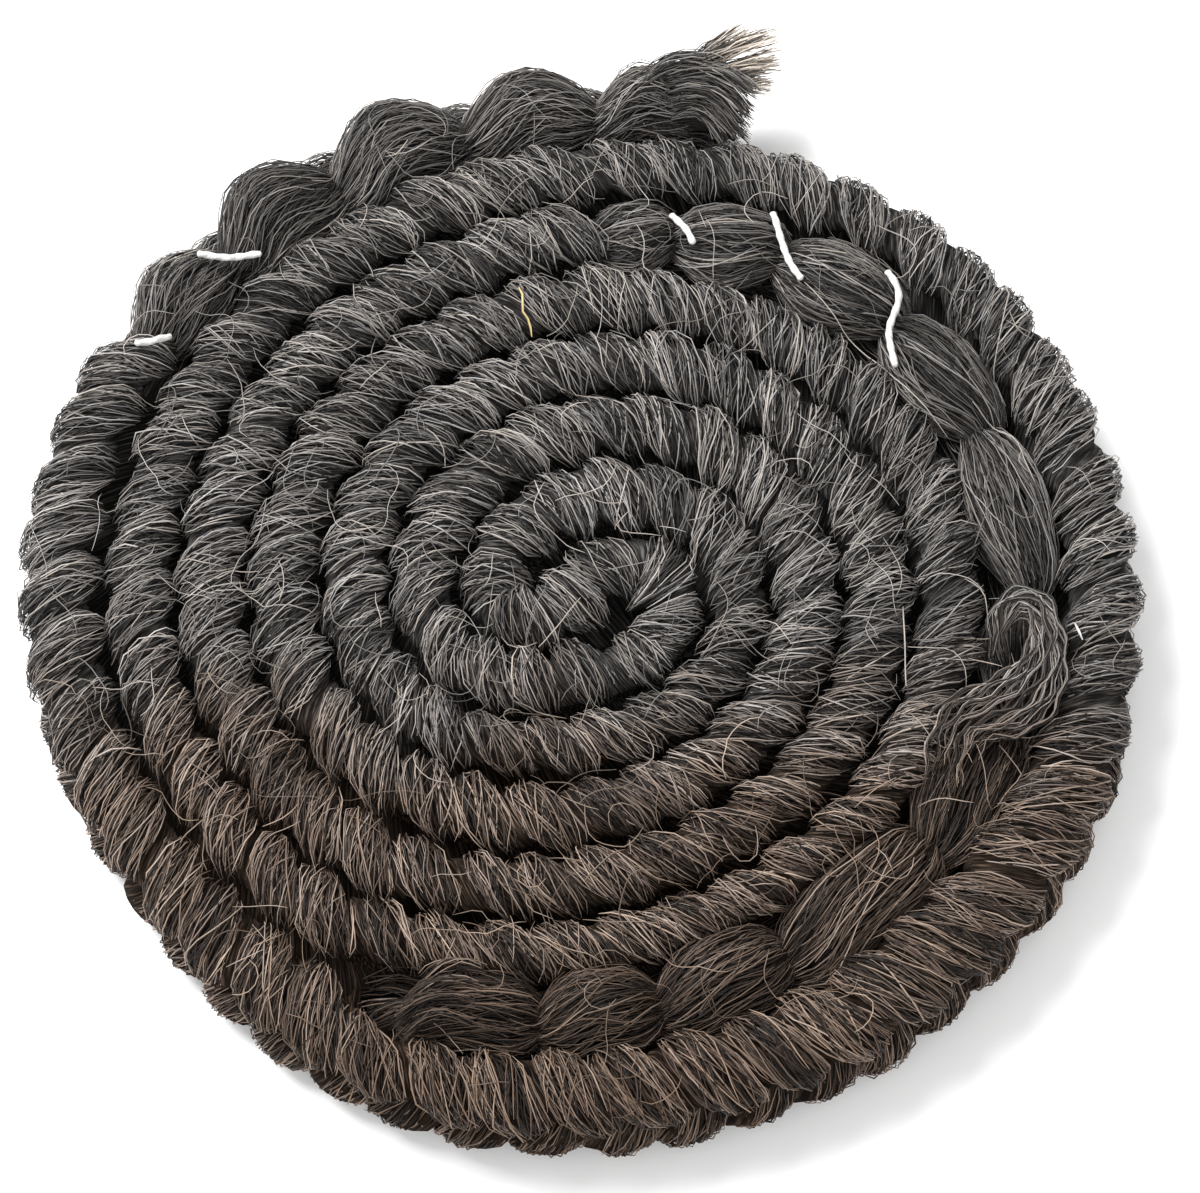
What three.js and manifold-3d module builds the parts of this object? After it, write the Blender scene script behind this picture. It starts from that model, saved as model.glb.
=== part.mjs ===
// Crepe wool braid, about one metre long, standing on edge and wound double into a flat disc.
// Millimetres, +Z up. The disc lies on its lower row of loops, with the middle of its box at the origin.
import * as THREE from 'three';
import { mergeVertices } from 'three/addons/utils/BufferGeometryUtils.js';
import Module from 'manifold-3d';

// Driving dimensions
const ROW_PITCH = 5.3; // from one row of the winding to the next
const BRAID_THICK = 4.9; // across a row, at the fullest part of a loop
const BRAID_TALL = 9.4; // two rows of loops, one above the other
const ROW_GAP = 0.35; // least air between two rows
const BEND_SHARE = 0.8; // how much of a bend's radius its inner side may fill
const LOOP_AT_HEART = 3.9; // length of one tight loop along the braid, in the middle of the disc
const LOOP_AT_RIM = 5.0;
const RIM_RADIUS = 42;
const LOOP_SLANT = 0.45; // how far the wool runs along the braid for each step across it
const TIGHT_NECK = 3.9; // across the groove between two tight loops
const LOOSE_NECK = 3.3;
const GROOVE_DROP = 0.75; // how far the crown dips in a groove
const END_NECK = { wide: 2.4, drop: 2.2 }; // where the wool is drawn together at the braid's two ends
const RIM_FLARE = 0.7; // how far the lower loops stand out on the outermost turn
const STRING_DIAMETER = 0.6;
const STRING_LIFT = 0.42; // air between a bare string and the wool under it

// The middle of the whole part's box, from the axis of the winding
const BOX_MIDDLE = { x: 0.093, y: 2.488 };

// The two arms wind outward from the heart. An arm's angle is counted counter-clockwise in degrees and
// grows inward, and "zero" is the angle at which an even winding would reach the axis.
const ARMS = {
  outer: { ends: 78, joins: 1340, zero: 1632 },
  inner: { ends: 247, joins: 1226, zero: 1452 },
};

// The disc isn't quite round: it leans to one side and is slightly oval
const UNROUND = [
  { waves: 1, by: 0.77, toward: 77 },
  { waves: 2, by: 0.86, toward: 19 },
];

// Places where a row swings out (or in, when negative), and how many degrees that takes
const SWINGS = [
  { arm: 'outer', at: 82, out: 0.5, over: 30 },
  { arm: 'outer', at: 165, out: 0.7, over: 30 },
  { arm: 'outer', at: 240, out: -0.55, over: 38 },
  { arm: 'outer', at: 315, out: -0.75, over: 38 },
  { arm: 'outer', at: 312, out: 0.9, over: 50 },
  { arm: 'outer', at: 418, out: 1.7, over: 34 },
  { arm: 'outer', at: 594, out: 1.0, over: 22 },
  { arm: 'outer', at: 650, out: -0.5, over: 40 },
  { arm: 'inner', at: 300, out: -1.0, over: 45 },
  { arm: 'inner', at: 355, out: 0.5, over: 26 },
  { arm: 'inner', at: 420, out: 1.3, over: 32 },
  { arm: 'inner', at: 600, out: 0.7, over: 26 },
  { arm: 'inner', at: 975, out: -0.7, over: 30 },
  { arm: 'inner', at: 1147, out: -0.8, over: 40 },
];

// Stretches of tight loops that are plumper than the rest, and how far along the braid that goes
const SWELLS = [
  { arm: 'outer', at: 240, wide: 1.2, over: 26 },
  { arm: 'outer', at: 315, wide: 1.6, over: 26 },
];

// The outermost stretch sinks in by one row, because the inner arm has ended beneath it
const LAST_LAP = { from: 268, to: 205 };

// The S of the heart, from the outer arm to the inner one
const HEART = [
  { x: 5.3, y: -5.4 },
  { x: 7.1, y: -2.9 },
  { x: 7.1, y: 0.0 },
  { x: 5.5, y: 2.1 },
  { x: 3.0, y: 2.1 },
  { x: 0.9, y: 0.8 },
  { x: -1.0, y: -0.5 },
  { x: -3.1, y: -1.4 },
  { x: -5.3, y: -1.3 },
  { x: -6.6, y: 0.3 },
];

// Both end stretches have worked loose. Each row is one long slack loop of wool.
const LOOSE_LOOPS = [
  { arm: 'outer', from: 78, to: 88.5, wide: 7.6, tall: 9.6 },
  { arm: 'outer', from: 88.5, to: 102.8, wide: 7.8, tall: 10.0 },
  { arm: 'outer', from: 102.8, to: 118.6, wide: 9.0, tall: 9.9 },
  { arm: 'outer', from: 118.6, to: 133.9, wide: 8.8, tall: 9.7 },
  { arm: 'outer', from: 133.9, to: 147.6, wide: 7.0, tall: 9.5 },
  { arm: 'inner', from: 436.5, to: 447.9, wide: 6.0, tall: 9.5 },
  { arm: 'inner', from: 421.2, to: 436.5, wide: 7.0, tall: 9.7 },
  { arm: 'inner', from: 403.4, to: 421.2, wide: 7.6, tall: 9.9 },
  { arm: 'inner', from: 384, to: 403.4, wide: 7.2, tall: 9.6 },
  { arm: 'inner', from: 361.2, to: 384, wide: 6.6, tall: 9.9 },
  { arm: 'inner', from: 342.5, to: 361.2, wide: 6.0, tall: 9.2 },
  { arm: 'inner', from: 322.5, to: 342.5, wide: 8.0, tall: 9.4 },
  { arm: 'inner', from: 298.4, to: 322.5, wide: 10.0, tall: 10.1 },
  { arm: 'inner', from: 280.3, to: 298.4, wide: 8.4, tall: 10.0 },
  { arm: 'inner', from: 265, to: 280.3, wide: 8.0, tall: 9.7 },
  { arm: 'inner', from: 249, to: 265, wide: 8.2, tall: 9.5 },
];

// How full a loop is along its own length
const TIGHT_SHAPE = [
  { at: 0, full: 0 },
  { at: 0.28, full: 1 },
  { at: 0.72, full: 1 },
];
const LOOSE_SHAPE = [
  { at: 0, full: 0 },
  { at: 0.16, full: 0.68 },
  { at: 0.38, full: 1 },
  { at: 0.62, full: 1 },
  { at: 0.84, full: 0.68 },
];

// The outline of one row, from its right foot over the crown to its left foot. The outermost turn also
// shows the waist between its two rows of loops.
const SECTION = [
  { across: 0.66, up: 0, row: 'lower' },
  { across: 1, up: 0.25, row: 'lower', rimOnly: true },
  { across: 0.74, up: 0.47, row: 'waist', rimOnly: true },
  { across: 1, up: 0.7, row: 'upper' },
  { across: 0.7, up: 0.93, row: 'upper' },
  { across: 0, up: 1, row: 'upper' },
  { across: -0.7, up: 0.93, row: 'upper' },
  { across: -1, up: 0.7, row: 'upper' },
  { across: -0.66, up: 0, row: 'lower' },
];

// Bare stretches of the two white strings, each crossing a groove between slack loops
const BARE_STRINGS = [
  [{ x: -29.4, y: 27.9 }, { x: -26.9, y: 27.2 }, { x: -24.3, y: 27.7 }],
  [{ x: -33.6, y: 19.6 }, { x: -32.2, y: 20.0 }, { x: -31.0, y: 20.8 }],
  [{ x: 7.0, y: 31.6 }, { x: 8.0, y: 30.1 }, { x: 8.7, y: 28.4 }],
  [{ x: 14.8, y: 31.3 }, { x: 15.5, y: 28.6 }, { x: 16.1, y: 26.7 }, { x: 16.9, y: 25.2 }],
  [{ x: 23.4, y: 26.1 }, { x: 24.3, y: 24.1 }, { x: 23.5, y: 21.3 }, { x: 23.9, y: 18.1 }],
];

// The cut end, fanned out into locks: where each points, how long it is and how high its tip ends
const END_LOCKS = [
  { toward: -34, long: 4.4, up: 3.2 },
  { toward: -18, long: 4.6, up: 6.4 },
  { toward: -4, long: 5.2, up: 2.2 },
  { toward: 10, long: 5.8, up: 7.4 },
  { toward: 22, long: 6.8, up: 3.6 },
  { toward: 33, long: 8.2, up: 6.6 },
  { toward: 44, long: 8.0, up: 8.6 },
  { toward: 50, long: 7.0, up: 3.0 },
  { toward: 58, long: 6.6, up: 7.0 },
  { toward: 68, long: 5.0, up: 4.8 },
];
const LOCK_ROOT = { x: 10.2, y: 41.3, thick: 2.8, tip: 1.2 };
const ROOT_PLUG = { long: 2.4, wide: 4.4, tall: 7.2, up: 4.9 };

const WOOL = new THREE.MeshStandardMaterial({ color: 0x4b4540, roughness: 0.9, metalness: 0 });
const PALE_WOOL = new THREE.MeshStandardMaterial({ color: 0x8d8272, roughness: 0.9, metalness: 0 });
const COTTON = new THREE.MeshStandardMaterial({ color: 0xe6e4e0, roughness: 0.85, metalness: 0 });

const radians = THREE.MathUtils.degToRad;
const lerp = THREE.MathUtils.lerp;
const smoothstep = THREE.MathUtils.smoothstep;

// Route of the braid, seen from above
function armRadius(name, angle) {
  let radius = (ROW_PITCH * (ARMS[name].zero - angle)) / 180;
  for (const wave of UNROUND) {
    radius += wave.by * Math.cos(wave.waves * radians(angle - wave.toward));
  }
  for (const swing of SWINGS) {
    if (swing.arm === name) radius += swing.out * Math.exp(-(((angle - swing.at) / swing.over) ** 2));
  }
  if (name === 'outer') radius -= ROW_PITCH * (1 - smoothstep(angle, LAST_LAP.to, LAST_LAP.from));
  return radius;
}

function armPoint(name, angle) {
  const radius = armRadius(name, angle);
  return new THREE.Vector2(radius * Math.cos(radians(angle)), radius * Math.sin(radians(angle)));
}

function armPoints(name, step) {
  const { ends, joins } = ARMS[name];
  const count = Math.ceil((joins - ends) / step);
  const points = [];
  for (let i = 0; i <= count; i += 1) {
    points.push(armPoint(name, lerp(ends, joins, i / count)));
  }
  return points;
}

// Evens out corners by averaging each point with those beside it, a few times over
function softened(points, passes) {
  let line = points;
  for (let pass = 0; pass < passes; pass += 1) {
    line = line.map((point, i) => {
      if (i === 0 || i === line.length - 1) return point;
      return line[i - 1].clone().add(line[i + 1]).multiplyScalar(0.25).addScaledVector(point, 0.5);
    });
  }
  return line;
}

const ROUTE_STEP = 0.25;

function evenSteps(points, step) {
  const reach = [0];
  for (let i = 1; i < points.length; i += 1) {
    reach.push(reach[i - 1] + points[i].distanceTo(points[i - 1]));
  }
  const total = reach[reach.length - 1];
  const count = Math.round(total / step);
  const line = [];
  let j = 0;
  for (let i = 0; i <= count; i += 1) {
    const along = (total * i) / count;
    while (j < reach.length - 2 && reach[j + 1] < along) j += 1;
    line.push(points[j].clone().lerp(points[j + 1], (along - reach[j]) / (reach[j + 1] - reach[j])));
  }
  return line;
}

function makeRoute() {
  const outer = armPoints('outer', 5);
  const inner = armPoints('inner', 5).reverse();
  const heart = HEART.map(({ x, y }) => new THREE.Vector2(x, y));
  const curve = new THREE.SplineCurve([...outer, ...heart, ...inner]);
  const drawn = evenSteps(curve.getPoints(6000), ROUTE_STEP);
  return evenSteps(softened(drawn, 12), ROUTE_STEP);
}

const route = makeRoute();
const routeLength = (route.length - 1) * ROUTE_STEP;

// A place on the route, with the directions along it and to its right
function placeAt(along) {
  const at = THREE.MathUtils.clamp(along / ROUTE_STEP, 0, route.length - 1.001);
  const i = Math.floor(at);
  const before = route[Math.max(i - 1, 0)];
  const after = route[Math.min(i + 2, route.length - 1)];
  const ahead = after.clone().sub(before).normalize();
  const beyond = along - at * ROUTE_STEP;
  const point = route[i].clone().lerp(route[i + 1], at - i).addScaledVector(ahead, beyond);
  return { point, ahead, right: new THREE.Vector2(ahead.y, -ahead.x) };
}

// How far along the route an arm passes a given angle
function alongAt(name, angle) {
  const target = armPoint(name, angle);
  let best = 0;
  for (let i = 1; i < route.length; i += 1) {
    if (route[i].distanceTo(target) < route[best].distanceTo(target)) best = i;
  }
  return best * ROUTE_STEP;
}

// Width of a tight loop at a place on the route
const swellsAlong = SWELLS.map(({ arm, at, wide, over }) => ({ middle: alongAt(arm, at), wide, over }));

function tightWidth(along) {
  let wide = BRAID_THICK;
  for (const swell of swellsAlong) wide += swell.wide * Math.exp(-(((along - swell.middle) / swell.over) ** 2));
  return wide;
}

// Distance from a place to the middle of the next row on one side, or far if there is none, and the width
// of the tight loops there
const SAME_STRETCH = 14;
const FAR = 99;

function nextRow(along, side) {
  const { point, ahead, right } = placeAt(along);
  let nearest = { away: FAR, wide: BRAID_THICK };
  for (let i = 0; i < route.length; i += 1) {
    if (Math.abs(i * ROUTE_STEP - along) < SAME_STRETCH) continue;
    const away = route[i].clone().sub(point);
    const sideways = away.dot(right) * side;
    if (sideways > 0 && Math.abs(away.dot(ahead)) < 2.5 && away.length() < nearest.away) {
      nearest = { away: away.length(), wide: tightWidth(i * ROUTE_STEP) };
    }
  }
  return nearest;
}

// Loops of the upper row, in order along the route
function makeLoops() {
  const slack = LOOSE_LOOPS.map(({ arm, from, to, wide, tall }) => {
    const ends = [alongAt(arm, from), alongAt(arm, to)].sort((a, b) => a - b);
    return { start: ends[0], end: ends[1], wide, tall, slack: true };
  });
  slack.sort((a, b) => a.start - b.start);
  const loops = [];
  let reached = 0;
  const addTight = (end) => {
    while (end - reached > 0.6 * LOOP_AT_HEART) {
      const wanted = lerp(LOOP_AT_HEART, LOOP_AT_RIM, placeAt(reached).point.length() / RIM_RADIUS);
      const left = Math.max(1, Math.round((end - reached) / wanted));
      const long = (end - reached) / left;
      const wide = tightWidth(reached + long / 2);
      loops.push({ start: reached, end: reached + long, wide, tall: BRAID_TALL, slack: false });
      reached += long;
    }
  };
  for (const loop of slack) {
    addTight(loop.start);
    loops.push({ ...loop, start: reached });
    reached = loop.end;
  }
  addTight(routeLength);
  return loops;
}

const loops = makeLoops();

// Distance along the route at a place counted in loops
function alongLoops(count) {
  const i = THREE.MathUtils.clamp(Math.floor(count), 0, loops.length - 1);
  return lerp(loops[i].start, loops[i].end, count - i);
}

// Half of the air to the next row, or all of it beside a row that keeps to its own width, and never more
// than a bend leaves on its inner side
const ROOM_STEP = 2;
const roomTable = new Map();

function bendRadius(along, side) {
  const before = placeAt(along - ROOM_STEP).ahead;
  const after = placeAt(along + ROOM_STEP).ahead;
  const turned = -side * Math.asin(THREE.MathUtils.clamp(before.cross(after), -1, 1));
  return turned > 0 ? (2 * ROOM_STEP) / turned : FAR;
}

function roomBeside(along, side) {
  const place = Math.round(along / ROOM_STEP) * ROOM_STEP;
  const key = `${place} ${side}`;
  if (!roomTable.has(key)) {
    const next = nextRow(place, side);
    const away = next.away - ROW_GAP;
    const room = Math.max(away / 2, away - next.wide / 2);
    roomTable.set(key, Math.min(room, BEND_SHARE * bendRadius(place, side)));
  }
  return roomTable.get(key);
}

// The braid: rings of points along the route, its lower loops half a loop behind the upper ones
const RIM_TURN = alongAt('outer', ARMS.outer.ends + 360);

function ringOf(index, phase, full) {
  const count = index + phase;
  const loop = loops[Math.min(index, loops.length - 1)];
  const before = loops[Math.max(index - 1, 0)];
  const atEnd = count === 0 || count === loops.length;
  const besideSlack = loop.slack || (before.slack && phase === 0);
  const neck = atEnd ? END_NECK.wide : besideSlack ? LOOSE_NECK : TIGHT_NECK;
  const drop = atEnd ? END_NECK.drop : GROOVE_DROP;
  const halfBelly = lerp(neck, loop.wide, full) / 2;
  const crown = lerp(BRAID_TALL - drop, loop.tall, full);
  const shift = 0.5 * Math.min(1, count, loops.length - count);
  const places = {
    upper: alongLoops(count),
    waist: alongLoops(count + shift / 2),
    lower: alongLoops(count + shift),
  };
  const onRim = 1 - smoothstep(places.upper, 0.85 * RIM_TURN, RIM_TURN);
  const ring = [];
  SECTION.forEach(({ across, up, row, rimOnly }, slot) => {
    if (rimOnly && onRim === 0) return;
    const side = Math.sign(across);
    const room = side === 0 ? FAR : roomBeside(places[row], side);
    const flare = row === 'lower' && side > 0 && !besideSlack ? RIM_FLARE * onRim : 0;
    const offset = across * Math.min(halfBelly, room) + flare;
    const { point, right } = placeAt(places[row] + LOOP_SLANT * offset);
    const spot = point.clone().addScaledVector(right, offset);
    ring.push({ slot, at: new THREE.Vector3(spot.x, spot.y, up * crown) });
  });
  return ring;
}

// Joins rings into one closed skin, slot by slot. A slot that only one ring has is filled by a triangle.
function closedSkin(rings) {
  const positions = [];
  const index = [];
  for (const ring of rings) {
    for (const spot of ring) {
      spot.vertex = positions.length / 3;
      positions.push(...spot.at);
    }
  }
  const slotOf = (ring, i) => (i < ring.length ? ring[i].slot : SECTION.length);
  const vertexOf = (ring, i) => ring[i % ring.length].vertex;
  for (let i = 0; i < rings.length - 1; i += 1) {
    const [near, far] = [rings[i], rings[i + 1]];
    let a = 0;
    let b = 0;
    while (a < near.length || b < far.length) {
      const [slotA, slotB] = [slotOf(near, a + 1), slotOf(far, b + 1)];
      if (a < near.length && slotA <= slotB) {
        index.push(vertexOf(near, a), vertexOf(far, b), vertexOf(near, a + 1));
        a += 1;
      }
      if (b < far.length && slotB <= slotA) {
        index.push(vertexOf(near, a), vertexOf(far, b), vertexOf(far, b + 1));
        b += 1;
      }
    }
  }
  for (const [ring, turned] of [[rings[0], false], [rings.at(-1), true]]) {
    const middle = new THREE.Vector3();
    for (const spot of ring) middle.addScaledVector(spot.at, 1 / ring.length);
    const centre = positions.length / 3;
    positions.push(...middle);
    for (let j = 0; j < ring.length; j += 1) {
      const [a, b] = [vertexOf(ring, j), vertexOf(ring, j + 1)];
      if (turned) index.push(centre, b, a);
      else index.push(centre, a, b);
    }
  }
  const geometry = new THREE.BufferGeometry();
  geometry.setAttribute('position', new THREE.Float32BufferAttribute(positions, 3));
  geometry.setIndex(index);
  return geometry;
}

function braidGeometry() {
  const rings = [];
  loops.forEach((loop, i) => {
    const shape = loop.slack ? LOOSE_SHAPE : TIGHT_SHAPE;
    for (const { at, full } of shape) rings.push(ringOf(i, at, full));
  });
  rings.push(ringOf(loops.length, 0, 0));
  return closedSkin(rings);
}

// Bare strings, each following the wool beneath it and lying just clear of it
const LOOK_DOWN = new THREE.Vector3(0, 0, -1);
const STRING_STEP = 0.7;
const LOWEST_STRING = BRAID_TALL - 1.8; // where a string spans the air between two rows

function woolBeneath(wool, x, y) {
  let highest = LOWEST_STRING;
  for (const [dx, dy] of [[0, 0], [1, 0], [-1, 0], [0, 1], [0, -1]]) {
    const above = new THREE.Vector3(x + dx * STRING_DIAMETER, y + dy * STRING_DIAMETER, 2 * BRAID_TALL);
    const [hit] = new THREE.Raycaster(above, LOOK_DOWN).intersectObject(wool);
    if (hit) highest = Math.max(highest, hit.point.z);
  }
  return highest;
}

function stringGeometry(wool, points) {
  const drawn = new THREE.CatmullRomCurve3(points.map(({ x, y }) => new THREE.Vector3(x, y, 0)));
  const spots = drawn.getSpacedPoints(Math.round(drawn.getLength() / STRING_STEP));
  for (const spot of spots) {
    spot.z = woolBeneath(wool, spot.x, spot.y) + STRING_LIFT + STRING_DIAMETER / 2;
  }
  const path = new THREE.CatmullRomCurve3(spots);
  const section = new THREE.Shape().absarc(0, 0, STRING_DIAMETER / 2, 0, 2 * Math.PI);
  return new THREE.ExtrudeGeometry(section, { steps: 2 * spots.length, curveSegments: 3, extrudePath: path });
}

// The frayed end: tapered locks fused at their roots
const wasm = await Module();
wasm.setup();

function toSolid(geometry) {
  geometry.deleteAttribute('normal');
  geometry.deleteAttribute('uv');
  const merged = mergeVertices(geometry, 1e-4);
  const mesh = new wasm.Mesh({
    numProp: 3,
    vertProperties: new Float32Array(merged.attributes.position.array),
    triVerts: new Uint32Array(merged.index.array),
  });
  return new wasm.Manifold(mesh);
}

function toGeometry(solid) {
  const { vertProperties, triVerts } = solid.getMesh();
  const geometry = new THREE.BufferGeometry();
  geometry.setAttribute('position', new THREE.BufferAttribute(vertProperties, 3));
  geometry.setIndex(new THREE.BufferAttribute(triVerts, 1));
  return geometry;
}

function lockGeometry({ toward, long, up }) {
  const root = new THREE.Vector3(LOCK_ROOT.x, LOCK_ROOT.y, lerp(ROOT_PLUG.up, up, 0.5));
  const tip = new THREE.Vector3(
    LOCK_ROOT.x + long * Math.cos(radians(toward)),
    LOCK_ROOT.y + long * Math.sin(radians(toward)),
    up,
  );
  const lock = new THREE.CylinderGeometry(LOCK_ROOT.tip / 2, LOCK_ROOT.thick / 2, root.distanceTo(tip), 4);
  lock.translate(0, root.distanceTo(tip) / 2, 0);
  const turn = new THREE.Quaternion().setFromUnitVectors(
    new THREE.Vector3(0, 1, 0),
    tip.clone().sub(root).normalize(),
  );
  lock.applyQuaternion(turn);
  lock.translate(root.x, root.y, root.z);
  return lock;
}

function frayedGeometry() {
  const plug = new THREE.SphereGeometry(0.5, 10, 8);
  plug.rotateX(Math.PI / 2);
  plug.scale(ROOT_PLUG.long, ROOT_PLUG.wide, ROOT_PLUG.tall);
  plug.translate(LOCK_ROOT.x, LOCK_ROOT.y, ROOT_PLUG.up);
  let solid = toSolid(plug);
  for (const lock of END_LOCKS) {
    solid = solid.add(toSolid(lockGeometry(lock)));
  }
  return toGeometry(solid);
}

// The whole part
const part = new THREE.Group();
part.position.set(-BOX_MIDDLE.x, -BOX_MIDDLE.y, 0);

function addPiece(name, geometry, material) {
  const mesh = new THREE.Mesh(geometry, material);
  mesh.name = name;
  part.add(mesh);
  return mesh;
}

const braid = addPiece('braid', braidGeometry(), WOOL);
BARE_STRINGS.forEach((points, i) => {
  addPiece(`bare_string_${i + 1}`, stringGeometry(braid, points), COTTON);
});
addPiece('frayed_end', frayedGeometry(), PALE_WOOL);

export default part;
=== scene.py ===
# Crepe wool braid: a metre of dark wool worked round two cotton strings and wound double into a flat disc.
# Metres, +Z up. The tables of the winding are in millimetres about its own axis.
import math

import bpy
import numpy as np
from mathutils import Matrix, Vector
from mathutils.bvhtree import BVHTree


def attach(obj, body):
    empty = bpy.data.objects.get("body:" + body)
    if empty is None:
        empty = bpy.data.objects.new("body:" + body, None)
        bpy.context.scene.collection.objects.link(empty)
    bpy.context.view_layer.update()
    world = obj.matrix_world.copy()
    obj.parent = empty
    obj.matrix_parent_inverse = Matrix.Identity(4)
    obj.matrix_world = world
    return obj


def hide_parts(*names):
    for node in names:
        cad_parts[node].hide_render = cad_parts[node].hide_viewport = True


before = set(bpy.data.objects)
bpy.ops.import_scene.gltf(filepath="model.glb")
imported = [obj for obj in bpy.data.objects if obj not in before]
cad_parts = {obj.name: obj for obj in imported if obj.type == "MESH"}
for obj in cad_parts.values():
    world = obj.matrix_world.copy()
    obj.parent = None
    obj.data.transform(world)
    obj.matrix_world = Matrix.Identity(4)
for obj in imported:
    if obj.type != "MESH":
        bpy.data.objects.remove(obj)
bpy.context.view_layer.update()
MM = 0.001


# The view and the studio
# The disc is seen from above its front edge. A large soft light stands at the upper left, a weaker one in
# front, and a pale room lights the rest. The shadow falls faintly to the right on a plain pale table.
VIEW_HEIGHT = math.radians(67)  # angle of the line of sight above the table
VIEW_FROM = 372.5 * MM
VIEW_WIDE = 88.85 * MM  # what the picture's width takes in at the crown of the braid
VIEW_AIM = Vector((1.46, -3.5, 9.4)) * MM
SENSOR = 36


def new_object(name, data):
    """An object of the scene, at the origin"""
    made = bpy.data.objects.new(name, data)
    bpy.context.scene.collection.objects.link(made)
    return made


camera_data = bpy.data.cameras.new("camera")
camera_data.sensor_width = SENSOR
camera_data.lens = SENSOR * VIEW_FROM / VIEW_WIDE
camera = new_object("camera", camera_data)
camera.location = VIEW_AIM + VIEW_FROM * Vector((0, -math.cos(VIEW_HEIGHT), math.sin(VIEW_HEIGHT)))
camera.rotation_euler = (math.pi / 2 - VIEW_HEIGHT, 0, 0)
bpy.context.scene.camera = camera
bpy.context.scene.view_settings.view_transform = "Standard"

SOFT_LIGHTS = {
    "key_light": {"at": (-0.34, 0.26, 0.54), "size": 0.42, "watts": 7.6},
    "front_light": {"at": (0.10, -0.55, 0.60), "size": 0.60, "watts": 1.7},
}
for name, lamp in SOFT_LIGHTS.items():
    light_data = bpy.data.lights.new(name, "AREA")
    light_data.shape = "DISK"
    light_data.size = lamp["size"]
    light_data.energy = lamp["watts"]
    light = new_object(name, light_data)
    light.location = lamp["at"]
    light.rotation_euler = Vector(lamp["at"]).to_track_quat("Z", "Y").to_euler()

ROOM_LIGHT = 0.84
room = bpy.data.worlds.new("room")
room.use_nodes = True
room.node_tree.nodes["Background"].inputs["Color"].default_value = (1.0, 1.0, 1.0, 1.0)
room.node_tree.nodes["Background"].inputs["Strength"].default_value = ROOM_LIGHT
bpy.context.scene.world = room


def both_ways(operation):
    """The methods for an operation with the wire as its first term and as its second"""
    return (lambda self, other: self.work_out(operation, self, other),
            lambda self, other: self.work_out(operation, other, self))


class Wire:
    """The value on a socket. Sums on it add the Math or Vector Math nodes that work them out."""

    def __init__(self, bench, socket):
        self.bench = bench
        self.socket = socket
        self.is_number = socket.type in ("VALUE", "INT")

    def of(self, output):
        return Wire(self.bench, self.socket.node.outputs[output])

    def work_out(self, operation, *terms):
        kind = "ShaderNodeMath"
        if not all(x.is_number if isinstance(x, Wire) else np.isscalar(x) for x in terms):
            kind = "ShaderNodeVectorMath"
            terms = [(x, x, x) if np.isscalar(x) else x for x in terms]
        return self.bench.node(kind, {"operation": operation}, dict(enumerate(terms)))

    __add__, __radd__ = both_ways("ADD")
    __sub__, __rsub__ = both_ways("SUBTRACT")
    __mul__, __rmul__ = both_ways("MULTIPLY")
    __truediv__, __rtruediv__ = both_ways("DIVIDE")
    __pow__, __rpow__ = both_ways("POWER")


class Bench:
    """Adds nodes to one tree."""

    def __init__(self, tree):
        self.tree = tree

    def node(self, kind, settings=None, sockets=None):
        node = self.tree.nodes.new(kind)
        for name, value in (settings or {}).items():
            if name == "stops":
                ramp = node.color_ramp.elements
                while len(ramp) < len(value):
                    ramp.new(0.5)
                for stop, (at, colour) in zip(ramp, value):
                    stop.position = at
                    stop.color = (*colour, 1.0)
            else:
                setattr(node, name, value)
        for name, value in (sockets or {}).items():
            if isinstance(value, Wire):
                self.tree.links.new(value.socket, node.inputs[name])
            else:
                node.inputs[name].default_value = value
        shown = [socket for socket in node.outputs if socket.enabled]
        return Wire(self, shown[0]) if shown else node


def grain(bench, scale, detail):
    """Noise that keeps its place on the piece"""
    spot = bench.node("ShaderNodeTexCoord").of("Object")
    return bench.node("ShaderNodeTexNoise", {}, {"Vector": spot, "Scale": scale, "Detail": detail})


def between(bench, share, first, second):
    """The colour at a share of the way from the first to the second"""
    return bench.node("ShaderNodeMix", {"data_type": "VECTOR"}, {0: share, 4: first, 5: second}).of(1)


def new_material(name, constants, colour):
    """A finish with the shader's constants and the colour that a function works out on its bench"""
    material = bpy.data.materials.new(name)
    material.use_nodes = True
    shader = material.node_tree.nodes["Principled BSDF"]
    for socket, value in constants.items():
        shader.inputs[socket].default_value = value
    material.node_tree.links.new(colour(Bench(material.node_tree)).socket, shader.inputs["Base Color"])
    return material


WINDING_AXIS = np.array([-0.093, -2.488, 0.0]) * MM


def new_piece(name, points, faces=(), finish=None, edges=()):
    """A mesh object at the origin, its points given in millimetres about the axis of the winding"""
    mesh = bpy.data.meshes.new(name)
    mesh.from_pydata((np.asarray(points) * MM + WINDING_AXIS).tolist(), list(edges), list(faces))
    mesh.update()
    if finish:
        mesh.materials.append(finish)
    return new_object(name, mesh)


TABLE_REACH = 1500
TABLE_GRAIN = 900.0
TABLE_TINTS = (0.95, 0.95, 0.95), (0.97, 0.97, 0.97)


def table_colour(bench):
    return between(bench, grain(bench, TABLE_GRAIN, 2.0), *TABLE_TINTS)


table_finish = new_material("pale_table", {"Roughness": 0.9, "Specular IOR Level": 0.1}, table_colour)
table_corners = [(x * TABLE_REACH, y * TABLE_REACH, 0) for x, y in ((-1, -1), (1, -1), (1, 1), (-1, 1))]
table = new_piece("table", table_corners, [(0, 1, 2, 3)], table_finish)


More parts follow.
